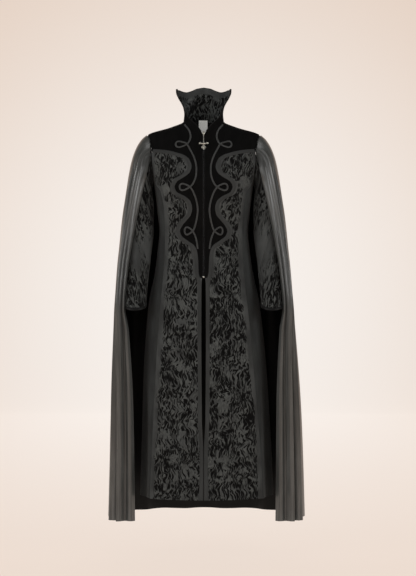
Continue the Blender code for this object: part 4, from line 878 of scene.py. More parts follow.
cut(settle(neck_label, "label", "neck_label"), grid)

# %% [markdown]
# ## Sleeves
#
# Each sleeve is a tube of level rings, bent a little forward as an arm hangs. Its cap is a curved bridge
# from the armhole to the first ring. The cloth buckles where the arm would bend and drapes in long
# slanting creases from the cap; these are placed one by one, and the two sleeves use them at different
# places.

# %% Sleeve form
SLEEVE = (
    ("level", "inner", "outer", "middle_y", "half_depth", "tilt"),
    (-0.240, 0.1715, 0.2520, -0.004, 0.061, 0.0), (-0.300, 0.1665, 0.2570, -0.008, 0.059, 2.0),
    (-0.360, 0.1665, 0.2600, -0.014, 0.056, 5.0), (-0.425, 0.1730, 0.2610, -0.027, 0.052, 9.0),
    (-0.500, 0.1810, 0.2625, -0.047, 0.048, 13.0), (-0.560, 0.1870, 0.2640, -0.065, 0.045, 16.0),
    (-0.612, 0.1905, 0.2640, -0.081, 0.043, 17.0),
)
SLEEVE_AROUND, SLEEVE_CAP_REACH, SLEEVE_CAP_DROP, SLEEVE_SEAM_STEP = 112, 0.030, 0.020, 0.0008
SLEEVE_CREASES = (
    ("angle", "level", "width", "reach", "lean", "height"),
    (60.0, -0.165, 16.0, 0.040, 40.0, -0.0022), (95.0, -0.200, 15.0, 0.045, 46.0, 0.0022),
    (80.0, -0.245, 14.0, 0.050, 40.0, -0.0024), (120.0, -0.270, 14.0, 0.050, 38.0, 0.0018),
    (85.0, -0.330, 16.0, 0.050, -34.0, -0.0020), (110.0, -0.375, 14.0, 0.040, -50.0, 0.0022),
    (70.0, -0.405, 15.0, 0.040, -46.0, -0.0022), (100.0, -0.440, 16.0, 0.040, 40.0, 0.0018),
    (60.0, -0.500, 14.0, 0.060, 26.0, -0.0018), (105.0, -0.540, 16.0, 0.060, -24.0, 0.0016),
    (220.0, -0.300, 20.0, 0.060, 40.0, -0.0024), (250.0, -0.360, 20.0, 0.050, -40.0, 0.0024),
    (235.0, -0.420, 18.0, 0.050, 44.0, -0.0022), (290.0, -0.260, 20.0, 0.060, -38.0, 0.0022),
    (300.0, -0.480, 18.0, 0.070, 26.0, -0.0020), (20.0, -0.300, 16.0, 0.070, 26.0, 0.0016),
    (340.0, -0.360, 16.0, 0.070, -26.0, -0.0018), (10.0, -0.470, 14.0, 0.060, 20.0, 0.0016),
)


def armhole_loop(phase, side):
    """The armhole's rim: phase 0 at the shoulder, a quarter turn at the front, a half turn under the arm."""
    middle, reach = (SHOULDER_END + UNDERARM) / 2, (SHOULDER_END - UNDERARM) / 2 - 0.002
    level = middle + reach * np.cos(phase)
    return body_form(np.where(np.sin(phase) >= 0, armhole(level), armhole(level, back=True)), level, side)


def sleeve_ring(level, phase, side):
    """x = middle + half width cos p, y = middle - depth sin p cos tilt, z = level - depth sin p sin tilt."""
    inner, outer = read(SLEEVE, "inner", level), read(SLEEVE, "outer", level)
    depth, tilt = read(SLEEVE, "half_depth", level), np.radians(read(SLEEVE, "tilt", level))
    across = (inner + outer) / 2 + (outer - inner) / 2 * np.cos(phase)
    along = read(SLEEVE, "middle_y", level) - depth * np.sin(phase) * np.cos(tilt)
    return np.stack([side * across, along, level - depth * np.sin(phase) * np.sin(tilt)], axis=-1)


def tube_normals(grid):
    """Outward directions of a grid that closes across its columns: slope round crossed with slope down."""
    around = np.roll(grid, -1, axis=1) - np.roll(grid, 1, axis=1)
    normals = unit(np.cross(around, np.gradient(grid, axis=0)))
    return normals * np.sign(np.sum(normals * (grid - grid.mean(axis=1, keepdims=True))))


def sleeve_grid(side):
    """Cap rows are the curves rim (1-t)^2 + bend 2t(1-t) + ring t^2; below them come the level rings."""
    phase = np.linspace(0, 2 * math.pi, SLEEVE_AROUND, endpoint=False) + math.pi
    rim = armhole_loop(phase, side) + np.array([side * SLEEVE_SEAM_STEP, 0, 0])
    ring = sleeve_ring(np.full(phase.shape, SLEEVE[1][0]), phase, side)
    lift = (1 + np.cos(phase)) / 2
    sag = 0.30 * (1 - lift) * (rim[:, 2] - ring[:, 2])
    bend = np.stack([rim[:, 0] + side * (SLEEVE_CAP_REACH * lift + 0.006), (rim[:, 1] + ring[:, 1]) * 0.47,
                     rim[:, 2] - SLEEVE_CAP_DROP * lift - sag], axis=1)
    t = np.linspace(0, 1, 30)[:-1, None, None]
    level = np.linspace(SLEEVE[1][0], SLEEVE[-1][0], 84)[:, None]
    rings = sleeve_ring(level + 0 * phase, phase + 0 * level, side)
    grid = np.concatenate([rim * (1 - t) ** 2 + bend * 2 * t * (1 - t) + ring * t ** 2, rings])
    turn = np.degrees(phase) % 360 + (0.0 if side < 0 else 9.0)
    height = crease_height(turn[None, :] + 0 * grid[..., 2], grid[..., 2] + 0.012 * side, SLEEVE_CREASES)
    rows = np.arange(len(grid))
    calm = step(rows / 10.0)[:, None] * step((len(grid) - 1 - rows) / 8.0)[:, None]
    return grid + tube_normals(grid) * (height * calm)[..., None], phase


# %% Make the sleeves and cuffs
CUFF_HEIGHT, CUFF_ROUND = 0.010, 0.0010
for label, side in SIDES:
    grid, phase = sleeve_grid(side)
    level = grid[..., 2]
    leafy = 0.36 + 0.36 * step((-0.50 - level) / 0.08) + 0.18 * step((level + 0.33) / 0.10)
    leafy = leafy * (1 - 0.55 * np.exp(-((level + 0.43) / 0.06) ** 2))
    closed = np.concatenate([grid, grid[:, :1]], axis=1)
    run = lengths(closed, 1)
    uv = np.stack([run - run[:, -1:] / 2 + side * 0.7, -lengths(closed, 0)], axis=-1)
    sleeve = shell(f"cloth_sleeve_{label}", grid, tube_normals(grid), [leaf_cloth, lining], wrap=True,
                   figure=leafy, uv=uv)
    cut(settle(sleeve, "patterned_cloth", f"sleeve_{label}"), grid, wrap=True)
    middle = grid[-1].mean(axis=0)
    fall = unit(middle - grid[-2].mean(axis=0))
    swell = 1.012 + CUFF_ROUND / 0.045 * np.sin(math.pi * np.linspace(0, 1, 9))
    rows = middle + (grid[-1] - middle) * swell[:, None, None]
    rows = rows + fall * (np.linspace(0, CUFF_HEIGHT, 9) - 0.0002)[:, None, None]
    cuff = shell(f"cloth_cuff_{label}", rows, tube_normals(rows), [lining], thickness=0.0024, wrap=True)
    cut(settle(cuff, "lining", f"cuff_{label}"), rows, wrap=True)

# %% [markdown]
# ## The collar
#
# The stand collar is two layers of cloth over a stiff interlining, so it is thicker than the rest. It
# rises from the neckline, leans out and ends in two points in front. Its outside is velvet and its inside
# is the leaf cloth with a plain margin. A thin round piping closes its front and top edges.

# %% Collar form
COLLAR = (
    ("level", "half_width", "front", "back"),
    (-0.043, 0.0660, 0.0620, 0.0545), (0.000, 0.0684, 0.0580, 0.0550), (0.028, 0.0660, 0.0505, 0.0535),
    (0.046, 0.0686, 0.0485, 0.0548), (0.060, 0.0745, 0.0482, 0.0560), (0.080, 0.0862, 0.0500, 0.0585),
    (0.100, 0.0935, 0.0545, 0.0612), (0.122, 0.0940, 0.0560, 0.0640),
)
COLLAR_EDGE = (
    ("up", "angle", "level"),
    (0.00, 176.0, -0.0425), (0.20, 158.0, -0.0135), (0.42, 124.0, 0.0170), (0.58, 104.0, 0.0400),
    (0.80, 101.0, 0.0750), (1.00, 108.0, 0.1080),
)
COLLAR_TOP = (
    ("along", "level"),
    (0.00, 0.1212), (0.13, 0.1170), (0.25, 0.1083), (0.37, 0.1033), (0.47, 0.1050), (0.58, 0.1080),
    (0.75, 0.1085), (1.00, 0.1080),
)
COLLAR_THICKNESS, PIPING_RADIUS, COLLAR_MARGIN = 0.0018, 0.0013, 0.018


def collar_ring(angle, level):
    """x = half width sin a and y = depth cos a, with the angle from 0 at the centre back to pi in front."""
    depth = np.where(np.cos(angle) > 0, read(COLLAR, "back", level), read(COLLAR, "front", level))
    across = read(COLLAR, "half_width", level) * np.sin(angle)
    return np.stack([across, depth * np.cos(angle), level], axis=-1)


def collar_base(share):
    """The neckline from the centre back, share 0, to the centre front, share 1, at even steps."""
    back_angle = np.linspace(math.pi, RIGHT_ANGLE, 60)
    back = body_form(back_angle, BACK_NECK * (back_angle / RIGHT_ANGLE - 1), 1)
    across, level = neck_edge(90).T
    line = np.vstack([back, body_form(angle_across(across, level), level, 1)[1:]])
    even = resample(line, 300)
    return np.stack([np.interp(share, np.linspace(0, 1, 300), even[:, k]) for k in range(3)], axis=-1)


def collar_grid():
    """Rows from the neckline to the top line; the base's own shape fades out by (1 - up)^2."""
    share, up = np.meshgrid(np.linspace(0, 1, 64), np.linspace(0, 1, 50))
    edge_angle = np.radians(read(COLLAR_EDGE, "angle", up, key="up"))
    edge_level = read(COLLAR_EDGE, "level", up, key="up")
    base = collar_base(share)
    plain = base[..., 2] * (1 - up) + read(COLLAR_TOP, "level", share, key="along") * up
    straight = base[..., 2][:, -1:] * (1 - up) + COLLAR_TOP[-1][1] * up
    grid = collar_ring(share * edge_angle, plain + (edge_level - straight) * share ** 4)
    seat = base - collar_ring(share * math.radians(COLLAR_EDGE[1][1]), base[..., 2])
    return grid + seat * (1 - up[..., None]) ** 2


def tube(path, radius, binormal, around=10, flat=1.0, closed=False):
    """Rings round a path: side * r * flat * cos s + up * r * sin s, with caps of quads on the open ends."""
    slope = np.roll(path, -1, axis=0) - np.roll(path, 1, axis=0) if closed else np.gradient(path, axis=0)
    ahead = unit(slope)
    up = np.broadcast_to(binormal, path.shape)
    side = unit(np.cross(ahead, up))
    up = unit(np.cross(side, ahead))
    spin = (np.arange(around) + 0.5) * 2 * math.pi / around
    radius = np.broadcast_to(radius, len(path))[:, None, None]
    sideways = side[:, None] * flat * np.cos(spin)[:, None]
    rings = path[:, None] + radius * (sideways + up[:, None] * np.sin(spin)[:, None])
    rows = len(path)
    r = np.arange(rows if closed else rows - 1)[:, None]
    c = np.arange(around)[None, :]
    n, below = (c + 1) % around, (r + 1) % rows
    quads = [r * around + c, r * around + n, below * around + n, below * around + c]
    faces = np.stack(quads, axis=-1).reshape(-1, 4)
    if not closed:
        k = np.arange(around // 2 - 1)
        cap = np.stack([k, k + 1, around - 2 - k, around - 1 - k], axis=1)
        faces = np.vstack([faces, cap, cap[:, ::-1] + (rows - 1) * around])
    points = rings.reshape(-1, 3)
    return points, faces if volume(points, faces) > 0 else faces[:, ::-1]


def joined(name, parts, materials):
    """One object of several closed meshes; its UV holds each corner's x and z, in metres."""
    counts = np.cumsum([0] + [len(points) for points, _ in parts])
    points = np.vstack([points for points, _ in parts])
    faces = np.vstack([faces + start for (_, faces), start in zip(parts, counts)])
    uv = points[faces][..., [0, 2]]
    return put_mesh(name, points, faces, uv, materials)


# %% Make the collar
grid = collar_grid()
normals = -unit(np.cross(np.gradient(grid, axis=1), np.gradient(grid, axis=0)))
normals[:, 0, 0] = 0
normals = unit(normals)
normals = normals if normals[..., 0].sum() > 0 else -normals
run = lengths(grid, 1)
to_front, to_top = run[:, -1:] - run, lengths(grid[::-1], 0)[::-1]
figure = 0.70 * step((np.minimum(to_front, to_top) - COLLAR_MARGIN) / 0.006)
front_out, top_out = unit(grid[:, -1] - grid[:, -2]), unit(grid[-1] - grid[-2])
corner = unit(front_out[-1] + top_out[-1])
path = np.vstack([grid[2:-1, -1], grid[-1:, -1], grid[-1, -2::-1]])
facing = np.vstack([normals[2:-1, -1], normals[-1:, -1], normals[-1, -2::-1]])
out = np.vstack([front_out[2:-1], corner[None], top_out[-2::-1]])
middle = path + out * 0.0004 - facing * COLLAR_THICKNESS / 2
for label, side in SIDES:
    mirror = np.array([side, 1.0, 1.0])
    uv = np.stack([side * run + 0.31, lengths(grid, 0)], axis=-1)
    collar = shell(f"cloth_collar_{label}", grid * mirror, normals * mirror, [velvet, leaf_cloth],
                   thickness=COLLAR_THICKNESS, figure=figure, uv=uv)
    cut(settle(collar, "patterned_cloth", f"collar_{label}"), grid)
    cord = tube(middle * mirror, PIPING_RADIUS, facing * mirror, 12)
    piping = joined(f"piping_collar_{label}", [cord], [lining])
    settle(piping, "lining", f"collar_edge_{label}")

# %% [markdown]
# ## Band and braid
#
# A plain strip covers the wavy seam and runs on down the front edge. The soutache on the velvet is a flat
# braid with a groove down its middle, where it is sewn; it makes three long loops and crosses over itself
# at each. Both are profiles carried along a line on the cloth.

# %% Strips along a line


def front_path(line, side, lift):
    """A line given in front view, laid on the cloth: its points, the way across it and the way out."""
    angle = angle_across(line[:, 0], line[:, 1])
    normals = body_normal(angle, line[:, 1], side)
    middle = body(angle, line[:, 1], side, lift)
    return middle, unit(np.cross(normals, unit(np.gradient(middle, axis=0)))), normals


def trim(name, path, width, top, materials, slot, node):
    """A strip with a domed or grooved top: middle + across * width * s + out * top(s), flat underneath."""
    middle, across, normals = path
    share = np.linspace(-0.5, 0.5, len(top))
    flat = middle[:, None] + across[:, None] * (width * share)[:, None]
    grid = flat + normals[:, None] * np.asarray(top)[:, None]
    piece = closed_shell(name, grid, flat - normals[:, None] * 0.0003, materials)
    settle(piece, slot, node)
    return piece, flat


def dome(height, count, power=4.0):
    """Height * (1 - |2s|^power): flat in the middle and rounded down to the edges."""
    return height * (1 - np.abs(np.linspace(-1, 1, count)) ** power) + 0.0001


BRAID_WIDTH, BRAID_HEIGHT, BRAID_HOP, BRAID_STEP = 0.0056, 0.0015, 0.0018, 0.0030
BRAID_LOOPS = (
    ("across", "level", "length", "height"),
    (0.0560, -0.0820, 0.0370, 0.0205), (0.0450, -0.2260, 0.0345, 0.0220),
    (0.0360, -0.3705, 0.0270, 0.0250),
)
BRAID_RUNS = (
    ((0.0640, -0.0130), (0.0490, -0.0330), (0.0435, -0.0540), (0.0475, -0.0710)),
    ((0.0445, -0.1010), (0.0310, -0.1290), (0.0240, -0.1590), (0.0255, -0.1900), (0.0345, -0.2140)),
    ((0.0345, -0.2420), (0.0245, -0.2690), (0.0195, -0.2990), (0.0225, -0.3290), (0.0300, -0.3585)),
    ((0.0275, -0.3890), (0.0225, -0.4080), (0.0195, -0.4300)),
)


def braid_line():
    """The braid's route from the front; a loop is across + length sin(pi t), level - height/2 sin(2 pi t)."""
    turns = np.linspace(0, 1, 9)
    pieces, closings, total = [np.array(BRAID_RUNS[0])], [], len(BRAID_RUNS[0])
    for (across, level, length, height), run in zip(BRAID_LOOPS[1:], BRAID_RUNS[1:]):
        loop = [across + length * np.sin(math.pi * turns), level - height / 2 * np.sin(2 * math.pi * turns)]
        pieces += [np.stack(loop, axis=1), np.array(run)]
        closings.append(total + len(turns) - 1)
        total += len(turns) + len(run)
    return np.vstack(pieces), closings


# %% Make the band and the braid
wave = wave_line(BAND_WIDTH / 2)
level = np.linspace(ZIP_FOOT - 0.030, HEM + 0.0005, 60)
edge = read(FRONT_EDGE, "across", level) + BAND_WIDTH / 2 + 0.0004
line = np.vstack([wave[2:-20], np.stack([edge, level], axis=1)])
band_line = np.vstack([resample(line[:684], 300)[:-1], resample(line[683:], 150)])
knots, closings = braid_line()
dense = spline(knots, 24)
length = lengths(dense, 0)
braid_path = resample(dense, int(length[-1] / BRAID_STEP))
at = np.linspace(0, length[-1], len(braid_path))
hop = np.zeros(len(at))
for closing in closings:
    hop = np.maximum(hop, BRAID_HOP * step((0.016 - np.abs(at - length[closing * 24])) / 0.009))
across = np.linspace(-1, 1, 11)
two_cords = BRAID_HEIGHT * np.sqrt(np.clip(1 - (2 * np.abs(across) - 1) ** 2, 0, 1)) * 0.8 + 0.0004
for label, side in SIDES:
    band, flat = trim(f"band_edge_{label}", front_path(band_line, side, 0.0001), BAND_WIDTH,
                      dome(BAND_HEIGHT, 11), [band_cloth], "band", f"edge_band_{label}")
    cut(band, flat)
    trim(f"braid_soutache_{label}", front_path(braid_path, side, 0.0001 + hop), BRAID_WIDTH, two_cords,
         [braid_cord], "braid", f"braid_{label}")

# %% [markdown]
# ## The cape
#
# The cape is sewn into the front armholes, over the shoulders and along the back yoke, and falls free to
# below the coat's hem. Satin hangs in soft tubes: each starts somewhere below the seam and grows towards
# the hem. The front edge rolls back a little, which leaves a bright line on the turn.

# %% Cape form
CAPE = (
    ("level", "edge_x", "edge_y", "side_x", "side_y", "back_y"),
    (-0.043, 0.1870, -0.012, 0.2040, 0.004, 0.104), (-0.083, 0.1840, -0.044, 0.2250, 0.004, 0.114),
    (-0.133, 0.1830, -0.064, 0.2430, 0.003, 0.126), (-0.209, 0.1970, -0.077, 0.2570, 0.002, 0.138),
    (-0.273, 0.2110, -0.081, 0.2650, 0.002, 0.146), (-0.354, 0.2270, -0.085, 0.2745, 0.003, 0.154),
    (-0.426, 0.2400, -0.093, 0.2815, 0.004, 0.162), (-0.489, 0.2500, -0.102, 0.2880, 0.006, 0.170),
    (-0.620, 0.2610, -0.116, 0.2975, 0.010, 0.188), (-0.700, 0.2500, -0.112, 0.3022, 0.012, 0.198),
    (-0.937, 0.2380, -0.106, 0.3140, 0.018, 0.226), (-1.333, 0.2330, -0.100, 0.3262, 0.026, 0.270),
)
CAPE_HEM, CAPE_FRONT_TOP, CAPE_FLARE, CAPE_TOP_BLEND, CAPE_FULLNESS = -1.333, -0.133, 0.0225, 0.038, 0.07
CAPE_SEAM_LIFT, CAPE_SEAM_LOW, CAPE_SEAM_OUT, CAPE_ROLL, CAPE_ROLL_SHARE = 0.0062, 0.0016, 0.003, 0.013, 0.26

# Folds: where along the cape, how wide, how high, and the level each starts from; the front edge is at
# -1, the side at 0 and the centre back at 1
CAPE_FOLDS = (
    (-0.93, 0.05, 0.003, -0.55), (-0.82, 0.06, -0.006, -0.15), (-0.70, 0.07, 0.009, -0.10),
    (-0.56, 0.07, -0.009, -0.35), (-0.40, 0.09, 0.009, -0.20), (-0.18, 0.10, -0.006, -0.50),
    (0.10, 0.09, 0.010, -0.30), (0.26, 0.08, -0.012, -0.35), (0.42, 0.09, 0.014, -0.25),
    (0.58, 0.08, -0.014, -0.35), (0.73, 0.08, 0.014, -0.25), (0.88, 0.07, -0.013, -0.35),
    (1.00, 0.07, 0.012, -0.30),
)
SMALL_FOLDS = (
    (-0.88, 0.025, 0.0022, -0.25), (-0.76, 0.022, -0.0022, -0.30), (-0.63, 0.025, 0.0020, -0.45),
    (-0.48, 0.030, -0.0022, -0.12), (-0.29, 0.035, 0.0022, -0.30), (-0.06, 0.030, -0.0020, -0.16),
    (0.03, 0.025, 0.0022, -0.40), (0.18, 0.030, -0.0024, -0.20), (0.34, 0.028, 0.0024, -0.45),
    (0.50, 0.030, -0.0024, -0.15), (0.65, 0.028, 0.0024, -0.40), (0.80, 0.028, -0.0024, -0.20),
    (0.94, 0.025, 0.0022, -0.50),
)

# Two sharp ridges with a groove between them run down from the front armhole
FRONT_FOLDS = (
    (-0.66, 0.034, 0.0052, -0.05), (-0.575, 0.024, -0.0050, -0.09), (-0.50, 0.028, 0.0048, -0.12),
    (-0.80, 0.050, -0.0050, -0.08), (-0.94, 0.030, 0.0030, -0.25), (-0.20, 0.040, 0.0030, -0.20),
    (-0.34, 0.040, -0.0040, -0.16),
)


def cape_section(along, level, side):
    """A quarter oval from the front edge to the side, and a fuller one from the side to the centre back."""
    edge_x, edge_y, side_x, side_y, back_y = [read(CAPE, name, level) for name in CAPE[0][1:]]
    front_turn = (np.clip(along, -1, 0) + 1) * math.pi / 2
    back_turn = np.clip(along, 0, 1) * math.pi / 2
    out = (np.sin(front_turn) + CAPE_FULLNESS * np.sin(3 * front_turn)) / (1 - CAPE_FULLNESS)
    forward = (np.cos(front_turn) - CAPE_FULLNESS * np.cos(3 * front_turn)) / (1 - CAPE_FULLNESS)
    back_x = side_x * (np.cos(back_turn) - SQUARENESS * np.cos(3 * back_turn)) / (1 - SQUARENESS)
    rise = (np.sin(back_turn) + SQUARENESS * np.sin(3 * back_turn)) / (1 - SQUARENESS)
    flare = 1 + side * CAPE_FLARE * step((-0.40 - level) / 0.80)
    across = np.where(along < 0, edge_x + (side_x - edge_x) * out, back_x) * flare
    behind = side_y + (back_y - side_y) * rise
    back_and_forth = np.where(along < 0, side_y + (edge_y - side_y) * forward, behind)
    return np.stack([side * across, back_and_forth, level], axis=-1)


def cape_seam(along, side, lift):
    """The sewn line, lifted off the coat: up the front armhole, over the shoulder, along the back yoke."""
    front_level = CAPE_FRONT_TOP + (SHOULDER_END - CAPE_FRONT_TOP) * np.sin(np.linspace(0, math.pi / 2, 90))
    back_level = np.linspace(SHOULDER_END, BACK_YOKE_SEAM - 0.002, 90)
    front = np.stack([armhole(front_level), front_level], axis=1)
    hole = np.stack([armhole(back_level, back=True), back_level], axis=1)
    yoke = np.stack([np.linspace(hole[-1, 0], math.pi, 90), np.full(90, back_level[-1])], axis=1)
    back = np.vstack([hole, yoke[1:]])
    lines = [body_form(line[:, 0], line[:, 1], side) + body_normal(line[:, 0], line[:, 1], side) * lift
             for line in (front, back)]
    lines[0][:, 0] += side * CAPE_SEAM_OUT
    lines[1] = resample(lines[1], 240)
    lines[1][:, 0] += side * CAPE_SEAM_OUT * np.linspace(1, 0, 240)
    front_share, back_share = np.linspace(0, 1, 90), np.linspace(0, 1, 240)
    return np.stack([np.where(along < 0, np.interp(along + 1, front_share, lines[0][:, k]),
                              np.interp(along, back_share, lines[1][:, k])) for k in range(3)], axis=-1)


def fold_height(along, level, folds, reach):
    """Sum of height * exp(-((along - middle) / width)^2), each growing over a reach below its start."""
    return sum(height * np.exp(-((along - middle) / width) ** 2) * step((start - level) / reach)
               for middle, width, height, start in folds)


def cape_grid(side):
    """Sections hung below the seam, pulled to it at the top, folded, and rolled back at the front edge."""
    even = np.linspace(-1, 1, 221)
    share = np.concatenate([[0.0, 0.001, 0.003, 0.006], np.linspace(0.010, 1, 128) ** 1.15])
    along, fall = np.meshgrid(even, share)
    high, low = cape_seam(along, side, CAPE_SEAM_LIFT), cape_seam(along, side, CAPE_SEAM_LOW)
    seam = low + (high - low) * step(fall / 0.012)[..., None]
    level = seam[..., 2] * (1 - fall) + CAPE_HEM * fall
    hold = np.clip(1 - fall / CAPE_TOP_BLEND, 0, 1) ** 2
    pull = (seam - cape_section(along, seam[..., 2], side)) * hold[..., None]
    grid = cape_section(along, level, side) + pull
    normals = unit(np.cross(np.gradient(grid, axis=1), np.gradient(grid, axis=0)))
    normals[:, -1, 0] = 0
    normals = unit(normals) * (1 if np.sum(normals[..., 0] * side) > 0 else -1)
    flat = unit(normals * np.array([1.0, 1.0, 0.0]))
    shift = 0.02 * side * (1 - np.abs(along))
    height = fold_height(along + shift, level, CAPE_FOLDS, 0.75)
    height = height + fold_height(along - shift, level, SMALL_FOLDS, 0.4)
    height = height + fold_height(along, level, FRONT_FOLDS, 0.13)
    grid = grid + flat * height[..., None]
    roll = CAPE_ROLL * np.clip(1 - (along + 1) / CAPE_ROLL_SHARE, 0, 1) ** 2 * step(fall / 0.08)
    grid[..., 1] += roll
    grid[:, -1, 0] = 0
    return grid


# %% Make the cape
for label, side in SIDES:
    grid = cape_grid(side)
    normals = unit(np.cross(np.gradient(grid, axis=1), np.gradient(grid, axis=0)))
    normals[:, -1, 0] = 0
    normals = unit(normals) * (1 if np.sum(normals[..., 0] * side) > 0 else -1)
    cape = shell(f"cloth_cape_{label}", grid, normals, [satin, lining])
    cut(settle(cape, "satin", f"cape_{label}"), grid)

# %% [markdown]
# ## Zip, ring and pendant
#
# The zip's tapes lie behind the velvet and its teeth close down the middle. The slider holds a small
# ring, and an ornate cast pendant hangs on it: a slim shaft, a scrolled crossbar and a leafy drop. The
# ring and the pendant each ride on their own body.

# %% Zip
CLOTH, TAPE_DEPTH, TAPE_THICKNESS, TAPE_WIDTH = 0.0020, 0.0016, 0.0007, 0.0150
TAPE_TOP, CHAIN_TOP = -0.0405, -0.0500
TOOTH_PITCH, TOOTH_LENGTH, SLIDER_LEVEL, SLIDER_SIZE = 0.0026, 0.0030, -0.0420, (0.0086, 0.0042, 0.0110)


def front_frame(level):
    """A point on the centre front, the way out and the way down the cloth."""
    point = body_form(np.array([0.0]), np.array([level]), 1)[0]
    normal = body_normal(np.array([0.0]), np.array([level]), 1)[0]
    down = np.array([0.0, normal[2], -normal[1]])
    return point, normal, down if down[2] < 0 else -down


rows = 120
level = np.linspace(TAPE_TOP, ZIP_FOOT - 0.006, rows)
normals = body_normal(np.zeros(rows), level, 1)
surface = body_form(np.zeros(rows), level, 1)
for label, side in SIDES:
    across = np.linspace(0.0002, TAPE_WIDTH, 9)
    sink = surface[:, 1] - body_form(angle_across(np.full(rows, TAPE_WIDTH), level), level, 1)[:, 1]
    grid = (surface - normals * (CLOTH + TAPE_DEPTH - TAPE_THICKNESS))[:, None] + np.zeros((1, 9, 1))
    grid[..., 0] += side * across
    grid[..., 1] -= sink[:, None] * (across / TAPE_WIDTH)
    tape = shell(f"zip_tape_cloth_{label}", grid, normals[:, None] + 0 * grid, [lining], thickness=0.0006)
    cut(settle(tape, "lining", f"zip_tape_{label}"), grid)

# %% Zip teeth
# One tooth is a short capsule of six sides; all teeth are the same few points placed by arrays.


def capsule(length, radius, sides=6):
    """A short rod along its first axis: rings at +-1/2 with full radius and smaller end rings."""
    path = np.array([-0.5, -0.38, 0.38, 0.5])[:, None] * np.array([length, 0.0, 0.0])
    return tube(path, radius * np.array([0.6, 1.0, 1.0, 0.6]), np.array([0.0, 0.0, 1.0]), sides)


def placed(template, at, first, second, third):
    """Copies of a small mesh: each point becomes place + x * first + y * second + z * third."""
    points, faces = template
    axes = np.stack([np.broadcast_to(axis, at.shape) for axis in (first, second, third)], axis=1)
    copies = at[:, None] + np.einsum("pk,nkj->npj", points, axes)
    shift = np.arange(len(at))[:, None, None] * len(points)
    return copies.reshape(-1, 3), (faces[None] + shift).reshape(-1, 4)


tooth_level = np.arange(CHAIN_TOP, ZIP_FOOT - 0.003, -TOOTH_PITCH / 2)
tooth_out = body_normal(np.zeros(len(tooth_level)), tooth_level, 1)
tooth_at = body_form(np.zeros(len(tooth_level)), tooth_level, 1) - tooth_out * (CLOTH + TAPE_DEPTH - 0.0022)
tooth_side = np.where(np.arange(len(tooth_level)) % 2 == 0, 1.0, -1.0)[:, None] * np.array([1.0, 0.0, 0.0])
teeth = placed(capsule(TOOTH_LENGTH, 0.0008), tooth_at + tooth_side * 0.0009, tooth_side,
               np.cross(tooth_out, tooth_side), tooth_out)
chain = joined("zip_teeth", [teeth], [black_teeth])
settle(chain, "zip", "zip_chain")
print("teeth:", len(tooth_level))

# %% Stop and slider
RIGHT = np.array([1.0, 0.0, 0.0])
point, normal, down = front_frame(ZIP_FOOT + 0.001)
seat = CLOTH + TAPE_DEPTH - TAPE_THICKNESS - 0.0003
start = point - normal * (seat - 0.0016) + down * 0.0012
path = start + np.linspace(0, 0.0040, 7)[:, None] * down
rounding = np.array([0.70, 0.93, 1.0, 1.0, 1.0, 0.93, 0.70])
stop = joined("zip_bottom_stop", [tube(path, 0.0016 * rounding, normal, 16, flat=1.875)], [silver])
settle(stop, "silver", "zip_stop")

point, normal, down = front_frame(SLIDER_LEVEL)
width, thick, height = SLIDER_SIZE
slider_at = point - normal * 0.0002
plan = np.array([(-0.5, 0.42), (-0.30, 0.47), (0.12, 0.40), (0.5, 0.30)])
run = np.linspace(-0.5, 0.5, 15)
half = smooth(plan[:, 0], plan[:, 1], run) * np.array([0.72, 0.94] + [1.0] * 11 + [0.94, 0.72])
body_path = slider_at + (run * height)[:, None] * down
slider_body = tube(body_path, half * width, normal, 16, flat=1.0)
lean = (slider_body[0] - slider_at) @ normal
squash = slider_at + (slider_body[0] - slider_at) - np.outer(lean * (1 - thick / width * 1.05), normal)
arch = spline(np.array([(-0.0034, -0.0006), (-0.0034, 0.0018), (-0.0020, 0.0029), (0.0020, 0.0029),
                        (0.0034, 0.0018), (0.0034, -0.0006)]), 6)
arch_at = slider_at + normal * (thick / 2)
arch_path = arch_at + arch[:, :1] * down + arch[:, 1:] * normal
slider = joined("zip_slider_body", [(squash, slider_body[1]), tube(arch_path, 0.0005, RIGHT, 10)], [silver])
settle(slider, "silver", "zip_slider")

# %% Ring
RING_RADIUS, RING_WIRE, TIP_CLEARANCE = 0.0040, 0.0008, 0.0021
hinge = arch_at + normal * 0.00135 + down * 0.0008
lower = front_frame(SLIDER_LEVEL - 0.062)
hang = unit(lower[0] + lower[1] * (TIP_CLEARANCE + CLOTH / 2) - hinge)
facing = np.cross(RIGHT, hang)
facing = facing if facing[1] < 0 else -facing
turn = np.linspace(0, 2 * math.pi, 48, endpoint=False)[:, None]
circle = RIGHT * np.cos(turn) + hang * np.sin(turn)
ring_line = hinge + hang * RING_RADIUS + circle * RING_RADIUS
ring = joined("pull_ring_wire", [tube(ring_line, RING_WIRE, facing, 12, closed=True)], [silver])
settle(ring, "silver", "pull_ring", body_name="pull_ring")
print("ring hinge:", np.round(hinge, 5).tolist())

# %% Pendant
# Distances are measured from the pendant's own hinge, down its length and to the right.
swing = hinge + hang * 2 * RING_RADIUS


def pendant_path(points, per_span=8):
    """A smooth line through (right, down, out) places of the pendant."""
    line = spline(np.array(points, float), per_span)
    return swing + line[:, :1] * RIGHT + line[:, 1:2] * hang + line[:, 2:] * facing


